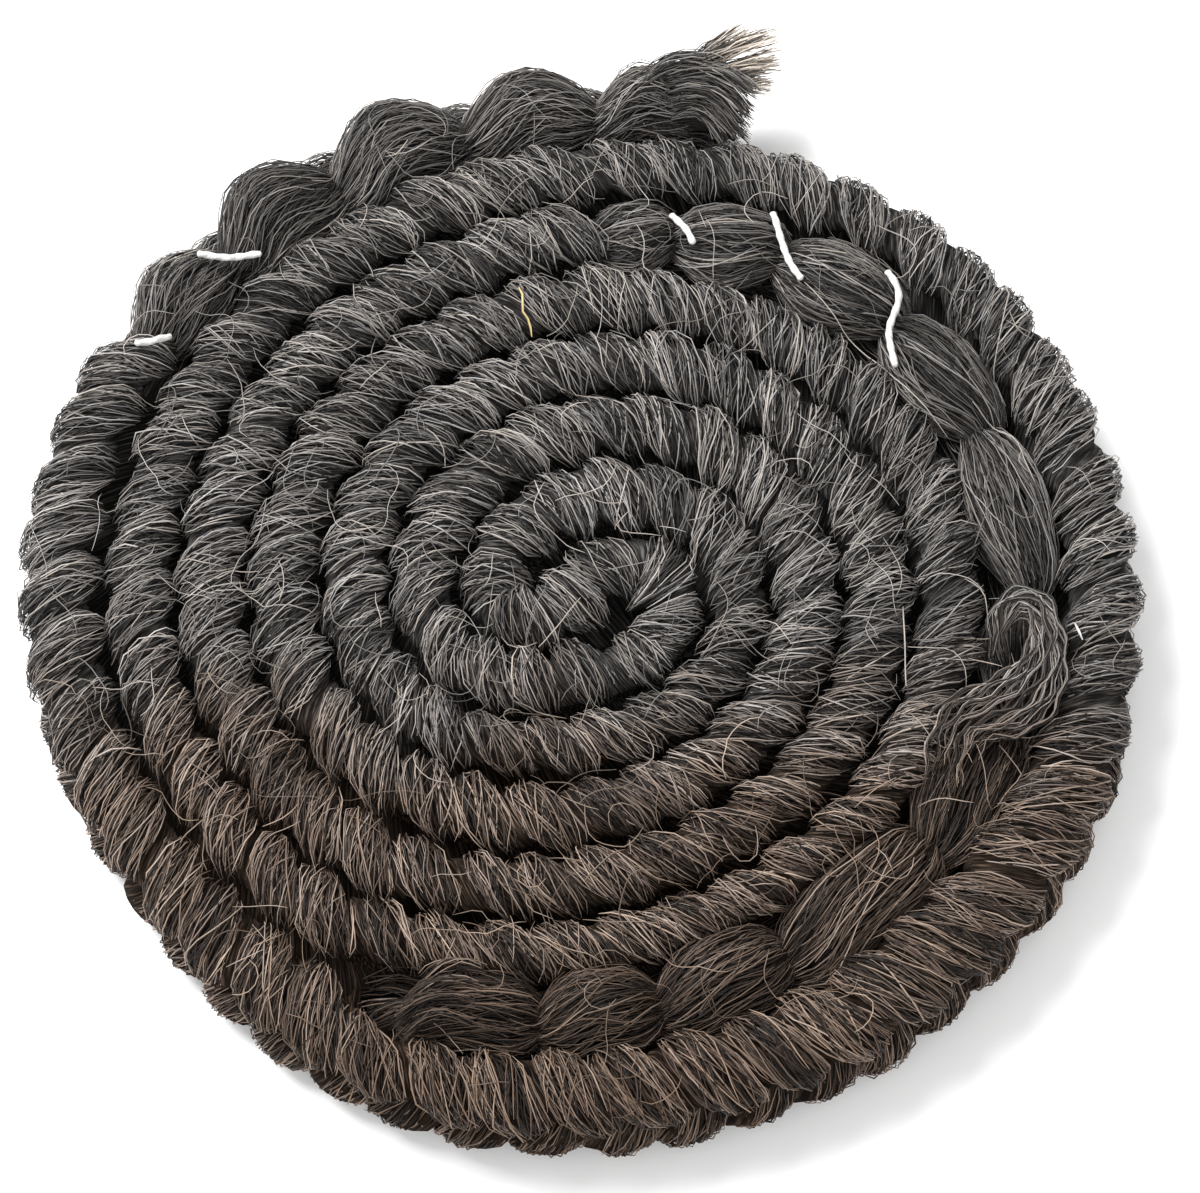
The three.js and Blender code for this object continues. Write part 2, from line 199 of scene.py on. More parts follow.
# The imported wool
# The braid is wool worked in a figure of eight round two white cotton strings, one above the other, which
# give the winding its route. Under its surface it is two ropes of packed loops of the same wool, coloured
# darker than the fibres over them: painted shade of the deep spaces between the fibres.
# Each loop of the lower rope lies half a loop behind the one above it.
ROW_PITCH = 5.3  # from one turn of the winding to the next
ROUTE_STEP = 0.25
ARM_STEP = 5  # degrees between the points that an arm of the winding is drawn through
DRAWN_POINTS = 6000
CORNER_PASSES = 12  # how often the drawn line is softened where the arms and the heart meet
# the angles at which each arm ends on the rim, joins the heart, and would reach the axis
ARMS = {
    "outer": {"ends": 78, "joins": 1340, "zero": 1632},
    "inner": {"ends": 247, "joins": 1226, "zero": 1452},
}
UNROUND = [(1, 0.77, 77), (2, 0.86, 19)]  # waves to a turn, how far out and toward which angle
# where each arm swings out of its even turns: the angle, how far out, and over how many degrees either way
SWINGS = {
    "outer": [(82, 0.5, 30), (165, 0.7, 30), (240, -0.55, 38), (315, -0.75, 38), (312, 0.9, 50),
              (418, 1.7, 34), (594, 1.0, 22), (650, -0.5, 40)],
    "inner": [(300, -1.0, 45), (355, 0.5, 26), (420, 1.3, 32), (600, 0.7, 26), (975, -0.7, 30),
              (1147, -0.8, 40)],
}
LAST_LAP = {"from": 268, "to": 205}  # the outer arm moves in by one row between these angles
HEART = [(5.3, -5.4), (7.1, -2.9), (7.1, 0.0), (5.5, 2.1), (3.0, 2.1),
         (0.9, 0.8), (-1.0, -0.5), (-3.1, -1.4), (-5.3, -1.3), (-6.6, 0.3)]


def smooth_step(x, low, high):
    t = np.clip((x - low) / (high - low), 0, 1)
    return t * t * (3 - 2 * t)


def mixed(first, second, share):
    return first + (second - first) * share


def to_the_right(ahead):
    return np.stack([ahead[..., 1], -ahead[..., 0]], -1)


def at_height(flat, up):
    """Points of the plan, each at its height"""
    return np.concatenate([flat, np.broadcast_to(up, flat.shape[:-1])[..., None]], -1)


def unit(vectors):
    return vectors / np.linalg.norm(vectors, axis=-1, keepdims=True)


def arm_point(arm, angle):
    angle = np.asarray(angle, float)
    radius = ROW_PITCH * (ARMS[arm]["zero"] - angle) / 180
    for waves, out, toward in UNROUND:
        radius = radius + out * np.cos(waves * np.radians(angle - toward))
    for at, out, over in SWINGS[arm]:
        radius = radius + out * np.exp(-(((angle - at) / over) ** 2))
    if arm == "outer":
        radius = radius - ROW_PITCH * (1 - smooth_step(angle, LAST_LAP["to"], LAST_LAP["from"]))
    return np.stack([radius * np.cos(np.radians(angle)), radius * np.sin(np.radians(angle))], -1)


def arm_points(arm):
    ends, joins = ARMS[arm]["ends"], ARMS[arm]["joins"]
    return arm_point(arm, np.linspace(ends, joins, math.ceil((joins - ends) / ARM_STEP) + 1))


def curve_through(points, count):
    """A smooth line through the points, in count equal shares of their number"""
    points = np.asarray(points, float)
    at = np.linspace(0, len(points) - 1, count + 1)
    i = np.minimum(at.astype(int), len(points) - 2)
    t = (at - i)[:, None]
    before, here, there, after = (points[np.clip(i + k, 0, len(points) - 1)] for k in (-1, 0, 1, 2))
    start, end = (there - before) / 2, (after - here) / 2
    return ((2 * here - 2 * there + start + end) * t**3 + (-3 * here + 3 * there - 2 * start - end) * t**2
            + start * t + here)


def even_steps(points, step):
    reach = np.concatenate([[0], np.cumsum(np.linalg.norm(np.diff(points, axis=0), axis=1))])
    wanted = np.linspace(0, reach[-1], round(reach[-1] / step) + 1)
    return np.stack([np.interp(wanted, reach, column) for column in points.T], -1)


def softened(points, passes):
    line = np.array(points)
    for _ in range(passes):
        line[1:-1] = line[1:-1] / 2 + (line[:-2] + line[2:]) / 4
    return line


drawn = curve_through(np.concatenate([arm_points("outer"), HEART, arm_points("inner")[::-1]]), DRAWN_POINTS)
route = even_steps(softened(even_steps(drawn, ROUTE_STEP), CORNER_PASSES), ROUTE_STEP)
route_length = (len(route) - 1) * ROUTE_STEP
route_ahead = unit(np.gradient(route, axis=0))


def place(along):
    """The point on the route, the direction ahead and the direction to the right, at lengths along it"""
    along = np.asarray(along, float)
    inside = np.clip(along, 0, route_length)
    grid = np.arange(len(route)) * ROUTE_STEP
    point, ahead = (np.stack([np.interp(inside, grid, column) for column in values.T], -1)
                    for values in (route, route_ahead))
    ahead = unit(ahead)
    point = point + ahead * (along - inside)[..., None]
    return point, ahead, to_the_right(ahead)


def along_at(arm, angle):
    return np.argmin(np.linalg.norm(route - arm_point(arm, angle), axis=1)) * ROUTE_STEP


BRAID_THICK = 4.9
BRAID_TALL = 9.4
LOOP_AT_HEART, LOOP_AT_RIM = 3.9, 5.0  # length of a tight loop
SHORTEST_LOOP = 0.6  # as a share of one at the heart
RIM_RADIUS = 42
LOWER_SLACK = 0.95  # width of a slack loop of the lower row against those above it
# fuller stretches of the outer arm: the angle, how much wider, and over what length either way
SWELLS = [(240, 1.2, 26), (315, 1.6, 26)]
# the slack loops of the upper row one after another: the angle at which each ends, its width and its height
SLACK_LOOPS = {
    "outer": {"from": 78, "loops": [
        (88.5, 7.6, 9.6), (102.8, 7.8, 10.0), (118.6, 9.0, 9.9), (133.9, 8.8, 9.7), (147.6, 7.0, 9.5),
    ]},
    "inner": {"from": 249, "loops": [
        (265, 8.2, 9.5), (280.3, 8.0, 9.7), (298.4, 8.4, 10.0), (322.5, 10.0, 10.1), (342.5, 8.0, 9.4),
        (361.2, 6.0, 9.2), (384, 6.6, 9.9), (403.4, 7.2, 9.6), (421.2, 7.6, 9.9), (436.5, 7.0, 9.7),
        (447.9, 6.0, 9.5),
    ]},
}


def tight_width(along):
    """Width of a tight loop at a length along the route"""
    wide = BRAID_THICK
    for angle, wider, over in SWELLS:
        wide += wider * math.exp(-(((along - along_at("outer", angle)) / over) ** 2))
    return wide


def slack_stretches():
    """Start, end, width and height of each slack loop, in order along the route"""
    stretches = []
    for arm, chain in SLACK_LOOPS.items():
        angle = chain["from"]
        for to, wide, tall in chain["loops"]:
            stretches.append((*sorted((along_at(arm, angle), along_at(arm, to))), wide, tall))
            angle = to
    return sorted(stretches)


def upper_loops():
    """Start, end, width, height and slackness of each loop of the upper row, in order along the route"""
    rows = []
    reached = 0.0
    for start, end, wide, tall in slack_stretches() + [(route_length, None, None, None)]:
        while start - reached > SHORTEST_LOOP * LOOP_AT_HEART:
            out = np.linalg.norm(place(reached)[0])
            wanted = mixed(LOOP_AT_HEART, LOOP_AT_RIM, out / RIM_RADIUS)
            long = (start - reached) / max(1, round((start - reached) / wanted))
            rows.append((reached, reached + long, tight_width(reached + long / 2), BRAID_TALL, 0.0))
            reached += long
        if end is not None:
            rows.append((reached, end, wide, tall, 1.0))
            reached = end
    return np.array(rows)


def lower_loops(upper):
    """The lower row: each loop runs from the middle of one upper loop to the middle of the next"""
    edges = np.concatenate([[0], (upper[:, 0] + upper[:, 1]) / 2, [route_length]])
    both = (upper[:-1, 2:] + upper[1:, 2:]) / 2
    sizes = np.concatenate([upper[:1, 2:], both, upper[-1:, 2:]])
    sizes[:, 0] *= np.where(sizes[:, 2] > 0, LOWER_SLACK, 1)
    return np.column_stack([edges[:-1], edges[1:], sizes])


ROWS = {"upper": upper_loops()}
ROWS["lower"] = lower_loops(ROWS["upper"])

ROOM_STEP = 2
SAME_STRETCH = 14  # nearer than this along the route, the braid is no neighbour of itself
ABREAST = 2.5  # how far ahead or behind a neighbour may lie
BEND_SHARE = 0.95  # how near to the centre of a bend the wool may come
FAR = 99


def room_beside(side):
    """How far the wool may reach on one side, at steps along the route"""
    rooms = []
    for along in np.arange(0, route_length + ROOM_STEP, ROOM_STEP):
        point, ahead, right = place(along)
        away = route - point
        other = (np.abs(np.arange(len(route)) * ROUTE_STEP - along) > SAME_STRETCH) \
            & (away @ right * side > 0) & (np.abs(away @ ahead) < ABREAST)
        distance = np.where(other, np.linalg.norm(away, axis=1), FAR)
        free = distance.min()
        next_half = tight_width(distance.argmin() * ROUTE_STEP) / 2
        before, after = place(along - ROOM_STEP)[1], place(along + ROOM_STEP)[1]
        turned = -side * math.asin(np.clip(before[0] * after[1] - before[1] * after[0], -1, 1))
        bend = 2 * ROOM_STEP / turned if turned > 0 else FAR
        rooms.append(min(max(free / 2, free - next_half), BEND_SHARE * bend))
    return np.array(rooms)


ROOM = {side: room_beside(side) for side in (-1, 1)}
RIM_TURN = along_at("outer", ARMS["outer"]["ends"] + 360)  # length of the outermost turn
RIM_FADES = 0.85  # the share of that turn after which the rim's own shape gives way to the common one


def room_at(along, side):
    """Free width at lengths along the route, to the right where side is positive"""
    grid = np.arange(len(ROOM[1])) * ROOM_STEP
    return np.where(side > 0, np.interp(along, grid, ROOM[1]), np.interp(along, grid, ROOM[-1]))


STRING_HEIGHT = {"upper": 6.95, "lower": 2.45}
LOOP_SLANT, HEART_SLANT = 0.45, 0.2  # how far the wool runs along the braid for each step across it
# a crease's width as a share of the loop's, the same under the rim, and its depth on the crown
CREASE = {"across": 0.80, "rim": 0.60, "slack": 0.25, "crown": 0.7, "slack crown": 1.9}
SLACK_DIP = 1.3  # how much lower a slack loop lies where it is gathered
LEAST_RISE = 0.25  # no loop is thinner than this, however deep its crease
SHOULDER = 1.15  # over 1 the loops are more pointed across than an ellipse
FILL, HEART_FILL = 0.55, 1.15  # how much a loop may swell to meet the next row, and in the heart
FILL_FADES = 1.0  # how much wider a gap has to be before no loop swells into it
HEART_RADIUS = 7.0
HEART_FADES = 1.4  # where the heart's own shape ends, as a share of that radius
WIDEST_GAP = 7.0  # a gap narrower than this is filled right up in the lower row
PRESSED = {"upper": 0.0, "lower": 0.4}  # how far the loops of two rows press into each other
RIM_SWELL = {"beside": 0.95, "front": 0.3}  # how much fuller the outermost turn is on its outer side
INNER_LEAN = 1.9  # how far round its string the wool leans on before it turns back underneath
RIM_LAG = 0.73  # on the outermost turn the lower loops lean the other way, and start this much earlier
FREE_END = 0.85  # how full the braid still is where it is cut off
SLACK_BEND = 0.36  # how far a slack loop arches sideways, as a share of half its width
SLACK_ARCH = {"middle": 0.4, "near": 0.3, "far": 0.85}  # the arch, and its loss towards the two ends
SOLE = {"high": 0.1, "crease": 0.3, "least": 0.06}  # height of the sole, its creases and its lowest fibres


def looseness(row, loop, share):
    """0 in the tight stretches of a row and 1 in the slack ones, with a gradual change between them"""
    slack = ROWS[row][:, 4]
    before, after = slack[np.maximum(loop - 1, 0)], slack[np.minimum(loop + 1, len(slack) - 1)]
    rise, fall = smooth_step(share, 0, 0.5), smooth_step(1 - share, 0, 0.5)
    return slack[loop] * np.maximum(before, rise) * np.maximum(after, fall)


def sideways(row, loop, share):
    """How far a slack loop arches to the right: it rises steeply from its far end and sinks slowly"""
    arch = SLACK_ARCH["middle"] - SLACK_ARCH["near"] * smooth_step(0.45 - share, 0, 0.45) \
        - SLACK_ARCH["far"] * smooth_step(share, 0.55, 1.0)
    return looseness(row, loop, share) * SLACK_BEND * ROWS[row][loop, 2] / 2 * arch


def lean_at(row, turn, on_rim):
    """How far the wool has leant along the braid when it is so far round its string"""
    back = np.sign(turn) * (math.pi - np.abs(turn)) * INNER_LEAN / (math.pi - INNER_LEAN)
    lean = np.where(np.abs(turn) < INNER_LEAN, turn, back)
    if row == "upper":
        return lean
    closing = math.pi - 3 * (turn + math.pi)
    return mixed(lean, np.where(turn > -math.pi / 2, turn, closing) - RIM_LAG, on_rim)


def on_row(row, loop_at, turn, proud=0.0, full=None):
    """Points on a row of loops. loop_at counts loops along the row, turn is the angle from the crown of the
    upper row or the sole of the lower one, and proud is the height over the row's plain surface."""
    loop_at, turn, proud = np.broadcast_arrays(*(np.asarray(x, float) for x in (loop_at, turn, proud)))
    loop = np.clip(np.floor(loop_at).astype(int), 0, len(ROWS[row]) - 1)
    share = loop_at - loop
    start, end, wide, tall, slack = (ROWS[row][loop, column] for column in range(5))
    straight = mixed(start, end, share)
    if full is None:
        full = np.sqrt(np.clip(1 - (2 * share - 1) ** 2, 0, 1))
        full = np.where(loop_at < 0.5, np.maximum(full, FREE_END), full)
    on_rim = 1 - smooth_step(straight, RIM_FADES * RIM_TURN, RIM_TURN)
    out = np.linalg.norm(place(straight)[0], axis=-1)
    in_heart = 1 - smooth_step(out, HEART_RADIUS, HEART_FADES * HEART_RADIUS)
    slant = mixed(LOOP_SLANT, HEART_SLANT, in_heart) * (1 - looseness(row, loop, share))
    along = straight + slant * BRAID_THICK / 2 * lean_at(row, turn, on_rim)
    point, _, right = place(along)
    crease = mixed(CREASE["across"], CREASE["slack"], slack)
    if row == "lower":
        crease = mixed(crease, CREASE["rim"], on_rim * (1 - slack))
    belly = wide / 2 * (crease + (1 - crease) * full)
    room = room_at(along, np.sin(turn))
    fill = mixed(FILL, HEART_FILL, in_heart)
    half = belly + fill * (1 - smooth_step(room, belly + fill, belly + 2 * fill + FILL_FADES))
    half = np.maximum(np.minimum(half, room + PRESSED[row]) + proud, LEAST_RISE)
    across = np.sign(np.sin(turn)) * np.abs(np.sin(turn)) ** SHOULDER
    swell = mixed(RIM_SWELL["front"], RIM_SWELL["beside"], np.abs(point[..., 0]) / RIM_RADIUS)
    swell = swell * on_rim * (np.sin(turn) > 0) * (1 - slack)
    high = STRING_HEIGHT[row]
    if row == "upper":
        half = half + swell
        crown_drop = mixed(CREASE["crown"], CREASE["slack crown"], slack)
        rise = np.where(np.abs(turn) < math.pi / 2, tall - high, BRAID_TALL - high)
        radius = np.maximum(rise - crown_drop * (1 - full) + proud, LEAST_RISE)
        up = high - SLACK_DIP * slack * (1 - full) + radius * np.cos(turn)
    else:
        half = np.where(room < WIDEST_GAP, room + PRESSED[row], half) + swell
        radius = high - SOLE["high"] - SOLE["crease"] * (1 - full) + proud
        up = np.maximum(high - radius * np.cos(turn), SOLE["least"])
    return at_height(point + right * (half * across + sideways(row, loop, share))[..., None], up)


RINGS_PER_LOOP = [0.0, 0.12, 0.32, 0.5, 0.68, 0.88]
ROPE_SIDES = 12
NEARLY_ONE = 1 - 1e-6  # still on a loop, right at its end
END_REACH = {"first": 2.4, "last": 1.6}
END_RINGS = (0.6, 0.98)  # where they lie, as shares of that reach
END_SINK = 2.2  # how much deeper the last ring of a rope lies
# two loops that the wavy lock has come out of: where they begin, how deep they lie and what is left in them
SUNK_LOOPS = [
    {"from": 342.5, "down": 1.8, "left": 0.5},
    {"from": 322.5, "down": 1.0, "left": 0.9},
]


def sunk_by(row, loop):
    """How deep a loop lies and the share of its wool that is left"""
    for sunk in SUNK_LOOPS:
        if row == "upper" and abs(ROWS[row][loop, 1] - along_at("inner", sunk["from"])) < 1:
            return sunk["down"], sunk["left"]
    return 0.0, 1.0


def rounded_end(ring, inner_ring, reach):
    """Two more rings past the end of a rope, drawn in"""
    middle = ring.mean(0)
    outward = middle - inner_ring.mean(0)
    outward *= reach / np.linalg.norm(outward)
    return np.array([middle + share * outward + (ring - middle) * math.sqrt(1 - share**2)
                     for share in END_RINGS])


def tube_faces(rings, sides, clockwise):
    """Faces of a closed tube of rings of points, which turn clockwise or not as seen along it"""
    faces = []
    for a in range((rings - 1) * sides):
        b = a - a % sides + (a + 1) % sides
        faces.append((a, a + sides, b + sides, b) if clockwise else (a, b, b + sides, a + sides))
    first, last = range(sides), range((rings - 1) * sides, rings * sides)
    return faces + ([first, last[::-1]] if clockwise else [first[::-1], last])


def lobed_rope(row, sink, slack_sink):
    """One row of loops as a closed rope with a crease between each two loops: its points, its faces and how
    the wool lies at each point, first across the fibres and then along them, in millimetres"""
    count = len(ROWS[row])
    loop_at = np.append(np.add.outer(np.arange(count), RINGS_PER_LOOP).ravel(), count - 1 + NEARLY_ONE)
    loops = np.floor(loop_at).astype(int)
    turns = np.linspace(-math.pi, math.pi, ROPE_SIDES, endpoint=False)
    if row == "lower":
        turns = turns[::-1]
    slack = ROWS[row][loops, 4]
    depth = sink + slack_sink * slack
    if sink > 0:
        depth += [sunk_by(row, loop)[0] for loop in loops]
        depth[-2:] += END_SINK
    rings = on_row(row, loop_at[:, None], turns, proud=-depth[:, None])
    first = rounded_end(rings[0], rings[1], END_REACH["first"])[::-1]
    rings = np.concatenate([first, rings, rounded_end(rings[-1], rings[-2], END_REACH["last"])])
    across, along = np.broadcast_arrays(loop_at[:, None] * LOOP_AT_RIM, turns * BRAID_THICK / 2)
    lay = np.where(slack[:, None, None] > 0, np.stack([along, across], -1), np.stack([across, along], -1))
    lay = at_height(np.pad(lay, ((2, 2), (0, 0), (0, 0)), "edge"), 0)
    return rings.reshape(-1, 3), tube_faces(len(rings), ROPE_SIDES, clockwise=True), lay.reshape(-1, 3)


BROWN_TINT = (0.80, 0.57, 0.43)
PALE_KEEPS = 1.2  # how much of its own colour a fibre keeps, the paler it is
BROWN_FROM, BROWN_TO = -6 * MM, -19 * MM  # along Y, towards the viewer
BROWN_PATCH = 20 * MM  # how far a patch may shift that
PATCH_GRAIN = 120.0
FRONT_FROM, FRONT_TO = -31 * MM, -40 * MM  # the front rim is darker: painted shade there
# painted shade of the front rim: how much darker each channel gets, most in blue, so that the rim also turns a
# little browner
FRONT_PAINTED_SHADE = (0.27, 0.32, 0.37)


def toward_viewer(bench, shift, begins, ends):
    """0 to 1 between two places along Y, after a shift"""
    spot = bench.node("ShaderNodeTexCoord").of("Object")
    y = bench.node("ShaderNodeSeparateXYZ", {}, {"Vector": spot}).of("Y") + shift
    return bench.node("ShaderNodeMapRange", {}, {"Value": y, "From Min": begins, "From Max": ends})


def browned_and_front_shaded(bench, colour):
    """The colour, browner towards the viewer and in patches, and least so where it is pale. At the front rim
    it is darkened as painted shade, and turns a little browner there in its own colour
    """
    patch = (grain(bench, PATCH_GRAIN, 1.0) - 0.5) * BROWN_PATCH
    brown = toward_viewer(bench, patch, BROWN_FROM, BROWN_TO)
    # painted shade: 0 to 1 towards the front rim, where the colour is darkened
    front = toward_viewer(bench, 0.0, FRONT_FROM, FRONT_TO)
    tint = colour * PALE_KEEPS * (1 - np.array(BROWN_TINT)) + BROWN_TINT
    return colour * (1 - front * FRONT_PAINTED_SHADE) * between(bench, brown, (1.0, 1.0, 1.0), tint)


CORE_SINK = {"upper": 0.7, "lower": 0.15}
SLACK_SINK = 0.5
# painted shade: the packed wool under the fibres is the braid's own dark wool, coloured darker than the fibres
# over it to stand for the deep shade between them
CORE_SHADED_TONES = [
    (0.35, (0.007, 0.0066, 0.0062)),
    (0.48, (0.014, 0.0134, 0.0128)),
    (0.56, (0.034, 0.032, 0.030)),
    (0.68, (0.100, 0.095, 0.089)),
]
FIBRES_BESIDE, FIBRES_LONG = 6.0, 0.4  # streaks to a millimetre across the fibres and along them


def packed_colour(bench):
    """Streaks that follow the lay of the wool, in tones darker than the fibres' as painted shade between them
    """
    lay = bench.node("ShaderNodeAttribute", {"attribute_name": "lay"}).of("Vector")
    streaks = bench.node("ShaderNodeTexNoise", {}, {
        "Vector": lay * (FIBRES_BESIDE, FIBRES_LONG, 1.0), "Scale": 1.0, "Detail": 3.0})
    return browned_and_front_shaded(bench, bench.node("ShaderNodeValToRGB", {"stops": CORE_SHADED_TONES}, {"Fac": streaks}))


def mark_points(mesh, name, kind, values):
    """Gives each point of a mesh a value that the material or the tree reads by name"""
    field = "vector" if kind == "FLOAT_VECTOR" else "value"
    number = np.int32 if kind == "INT" else np.float32
    mesh.attributes.new(name, kind, "POINT").data.foreach_set(field, np.ravel(values).astype(number))


core_finish = new_material("packed_wool", {"Roughness": 0.9, "Specular IOR Level": 0.05}, packed_colour)
core_points, core_faces, core_lay = [], [], []
for row in ROWS:
    row_points, row_faces, row_lay = lobed_rope(row, CORE_SINK[row], SLACK_SINK)
    core_faces += [tuple(corner + len(core_points) for corner in face) for face in row_faces]
    core_points.extend(row_points)
    core_lay.extend(row_lay)
core = new_piece("packed_wool", core_points, core_faces, core_finish)
core.data.shade_smooth()
mark_points(core.data, "lay", "FLOAT_VECTOR", core_lay)
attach(core, "root")
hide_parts("braid")


# The tight loops
# Each loop is a lock of coarse crimped wool laid over its string. Its fibres lie slanted across the braid
# and draw together at its sides, where the lock dives down to the other string. Some end on top.
# the arc of a lock that its fibres sit on, the strands they gather in, how they stray, and how they end
FIBRE_HABIT = {
    "Thickness": 0.118 * MM, "Seat From": 0.04 * math.pi, "Seat To": 0.96 * math.pi,
    "Strands": 11.0, "Strand Width": 0.9, "Twist": 0.0, "Drift": 2.8, "Wander": 0.85 * MM, "Waves": 520.0,
    "Layers": 0.45, "Shortest": 0.3, "Longest": 1.0, "Step": 0.9 * MM, "Taper": 0.6, "Paler Tip": 0.0,
    "Seed": 1,
}
OWN_TONE = 0.75  # how much of a fibre's tone is its own, the rest is its strand's
STOUTNESS = (0.55, 1.25)  # the thinnest and the stoutest fibre against the usual thickness
FEW_STRAY = 0.6  # how much of the drift only a few fibres have
DEEP_BY_CHANCE = 0.6  # how much of a fibre's depth is chance, the rest goes by its tone, the darkest lowest
BLUNTNESS = 8  # the higher, the nearer to its tips a fibre begins to taper


def fibre_tree():
    """Geometry Nodes: fills each guide line with fibres that lie on the outside of its lock. A guide point
    holds half the lock's width as a vector, and its height over the guide as another."""
    tree = bpy.data.node_groups.new("Fibres of a lock", "GeometryNodeTree")
    tree.interface.new_socket("Guides", in_out="INPUT", socket_type="NodeSocketGeometry")
    for name, value in FIBRE_HABIT.items():
        kind = "Int" if isinstance(value, int) else "Float"
        tree.interface.new_socket(name, in_out="INPUT", socket_type="NodeSocket" + kind)
    tree.interface.new_socket("Finish", in_out="INPUT", socket_type="NodeSocketMaterial")
    tree.interface.new_socket("Fibres", in_out="OUTPUT", socket_type="NodeSocketGeometry")
    node = Bench(tree).node
    given = node("NodeGroupInput")

    def named(name, kind="FLOAT"):
        return node("GeometryNodeInputNamedAttribute", {"data_type": kind}, {"Name": name})

    def keep(lines, domain, name, value):
        return node("GeometryNodeStoreNamedAttribute", {"data_type": "FLOAT", "domain": domain},
                          {"Geometry": lines, "Name": name, "Value": value})

    def reckon(operation, value):
        return node("ShaderNodeMath", {"operation": operation}, {0: value})

    lines = node("GeometryNodeMeshToCurve", {}, {"Mesh": given.of("Guides")})
    lines = node("GeometryNodeDuplicateElements", {"domain": "SPLINE"},
                       {"Geometry": lines, "Amount": named("fibres", "INT")})
    chances = {
        "own": (0.0, 1.0),
        "strand": (0.0, given.of("Strands")),
        "beside": (-0.5, 0.5),
        "stray": (-1.0, 1.0),
        "stout": STOUTNESS,
        "depth": (0.0, 1.0),
        "phase": (0.0, 100.0),
        "start": (0.0, 1.0),
        "length": (given.of("Shortest"), given.of("Longest")),
        "warmth": (0.0, 1.0),
    }
    for order, (name, (low, high)) in enumerate(chances.items()):
        lines = keep(lines, "CURVE", name, node("FunctionNodeRandomValue", {"data_type": "FLOAT"}, {
            2: low, 3: high, "Seed": given.of("Seed") + order}))
    own, strand, beside, stray, stout, depth, phase, start, length, _ = (named(name) for name in chances)
    strand = reckon("FLOOR", strand)
    shared = node("ShaderNodeTexWhiteNoise", {"noise_dimensions": "2D"}, {
        "Vector": node("ShaderNodeCombineXYZ", {}, {"X": strand, "Y": named("lock")})}).of("Value")
    lines = keep(lines, "CURVE", "tone", own * OWN_TONE + shared * (1 - OWN_TONE))

    lines = keep(lines, "POINT", "along", node("GeometryNodeSplineParameter"))
    start = start * (1 - length)
    lines = node("GeometryNodeTrimCurve", {"mode": "FACTOR"}, {
        "Curve": lines, "Start": start, "End": start + length})
    lines = node("GeometryNodeResampleCurve", {"mode": "LENGTH"}, {
        "Curve": lines, "Length": given.of("Step")})
    along = named("along")
    seat = (strand + 0.5 + beside * given.of("Strand Width")) / given.of("Strands")
    drift = given.of("Drift") * (stray * (1 - FEW_STRAY) + stray * stray * stray * FEW_STRAY)
    angle = mixed(given.of("Seat From"), given.of("Seat To"), seat) \
        + (along - 0.5) * (given.of("Twist") + drift)
    across, proud = named("across", "FLOAT_VECTOR"), named("proud", "FLOAT_VECTOR")
    high = named("tone") * (1 - DEEP_BY_CHANCE) + depth * DEEP_BY_CHANCE
    outer = 1 - given.of("Layers") * (1 - high)
    where = node("GeometryNodeInputPosition") * given.of("Waves") + phase
    crimp = node("ShaderNodeTexNoise", {}, {"Vector": where, "Scale": 1.0, "Detail": 1.0}).of("Color")
    lines = node("GeometryNodeSetPosition", {}, {
        "Geometry": lines,
        "Offset": (across * reckon("COSINE", angle) + proud * reckon("SINE", angle)) * outer
        + (crimp - 0.5) * given.of("Wander")})
    lines = keep(lines, "POINT", "tone", named("tone") + given.of("Paler Tip") * (along - 0.5))
    from_middle = node("GeometryNodeSplineParameter") * 2 - 1
    radius = given.of("Thickness") * 0.5 * stout * (1 - given.of("Taper") * from_middle**BLUNTNESS)
    ring = node("GeometryNodeCurvePrimitiveCircle", {}, {"Resolution": 3, "Radius": 1.0})
    solid = node("GeometryNodeCurveToMesh", {}, {
        "Curve": lines, "Profile Curve": ring, "Scale": radius, "Fill Caps": True})
    used_up = [name for name in chances if name != "warmth"]
    for name in (*used_up, "along", "across", "proud", "fibres", "lock"):
        solid = node("GeometryNodeRemoveAttribute", {}, {"Geometry": solid, "Name": name})
    solid = node("GeometryNodeSetShadeSmooth", {}, {"Geometry": solid, "Shade Smooth": True})
    solid = node("GeometryNodeRealizeInstances", {}, {"Geometry": solid})
    solid = node("GeometryNodeSetMaterial", {}, {"Geometry": solid, "Material": given.of("Finish")})
    node("NodeGroupOutput", {}, {"Fibres": solid})
    return tree


FIBRE_TREE = fibre_tree()


def spin_fibres(name, guides, finish, slot="wool", **given):
    """Runs the tree over guide lines and keeps the fibres as one plain mesh that rides with the braid. A
    guide is a row of points with the lock's half width and height at each, and a number of fibres."""
    points, across, proud = (np.concatenate([guide[key] for guide in guides])
                             for key in ("points", "across", "proud"))
    lock = np.repeat(np.arange(len(guides)), [len(guide["points"]) for guide in guides])
    joined = [(a, a + 1) for a in range(len(lock) - 1) if lock[a] == lock[a + 1]]
    source = new_piece(name + "_guides", points, edges=joined)
    mark_points(source.data, "across", "FLOAT_VECTOR", across * MM)
    mark_points(source.data, "proud", "FLOAT_VECTOR", proud * MM)
    mark_points(source.data, "fibres", "INT", np.array([guide["fibres"] for guide in guides])[lock])
    mark_points(source.data, "lock", "FLOAT", lock)
    modifier = source.modifiers.new("fibres", "NODES")
    modifier.node_group = FIBRE_TREE
    settings = {**FIBRE_HABIT, **given, "Finish": finish}
    for item in FIBRE_TREE.interface.items_tree:
        if item.name in settings:
            modifier[item.identifier] = settings[item.name]
    depsgraph = bpy.context.evaluated_depsgraph_get()
    mesh = bpy.data.meshes.new_from_object(source.evaluated_get(depsgraph), depsgraph=depsgraph)
    mesh.name = name
    bpy.data.objects.remove(source)
    piece = new_object(name, mesh)
    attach(piece, "root")
    return piece


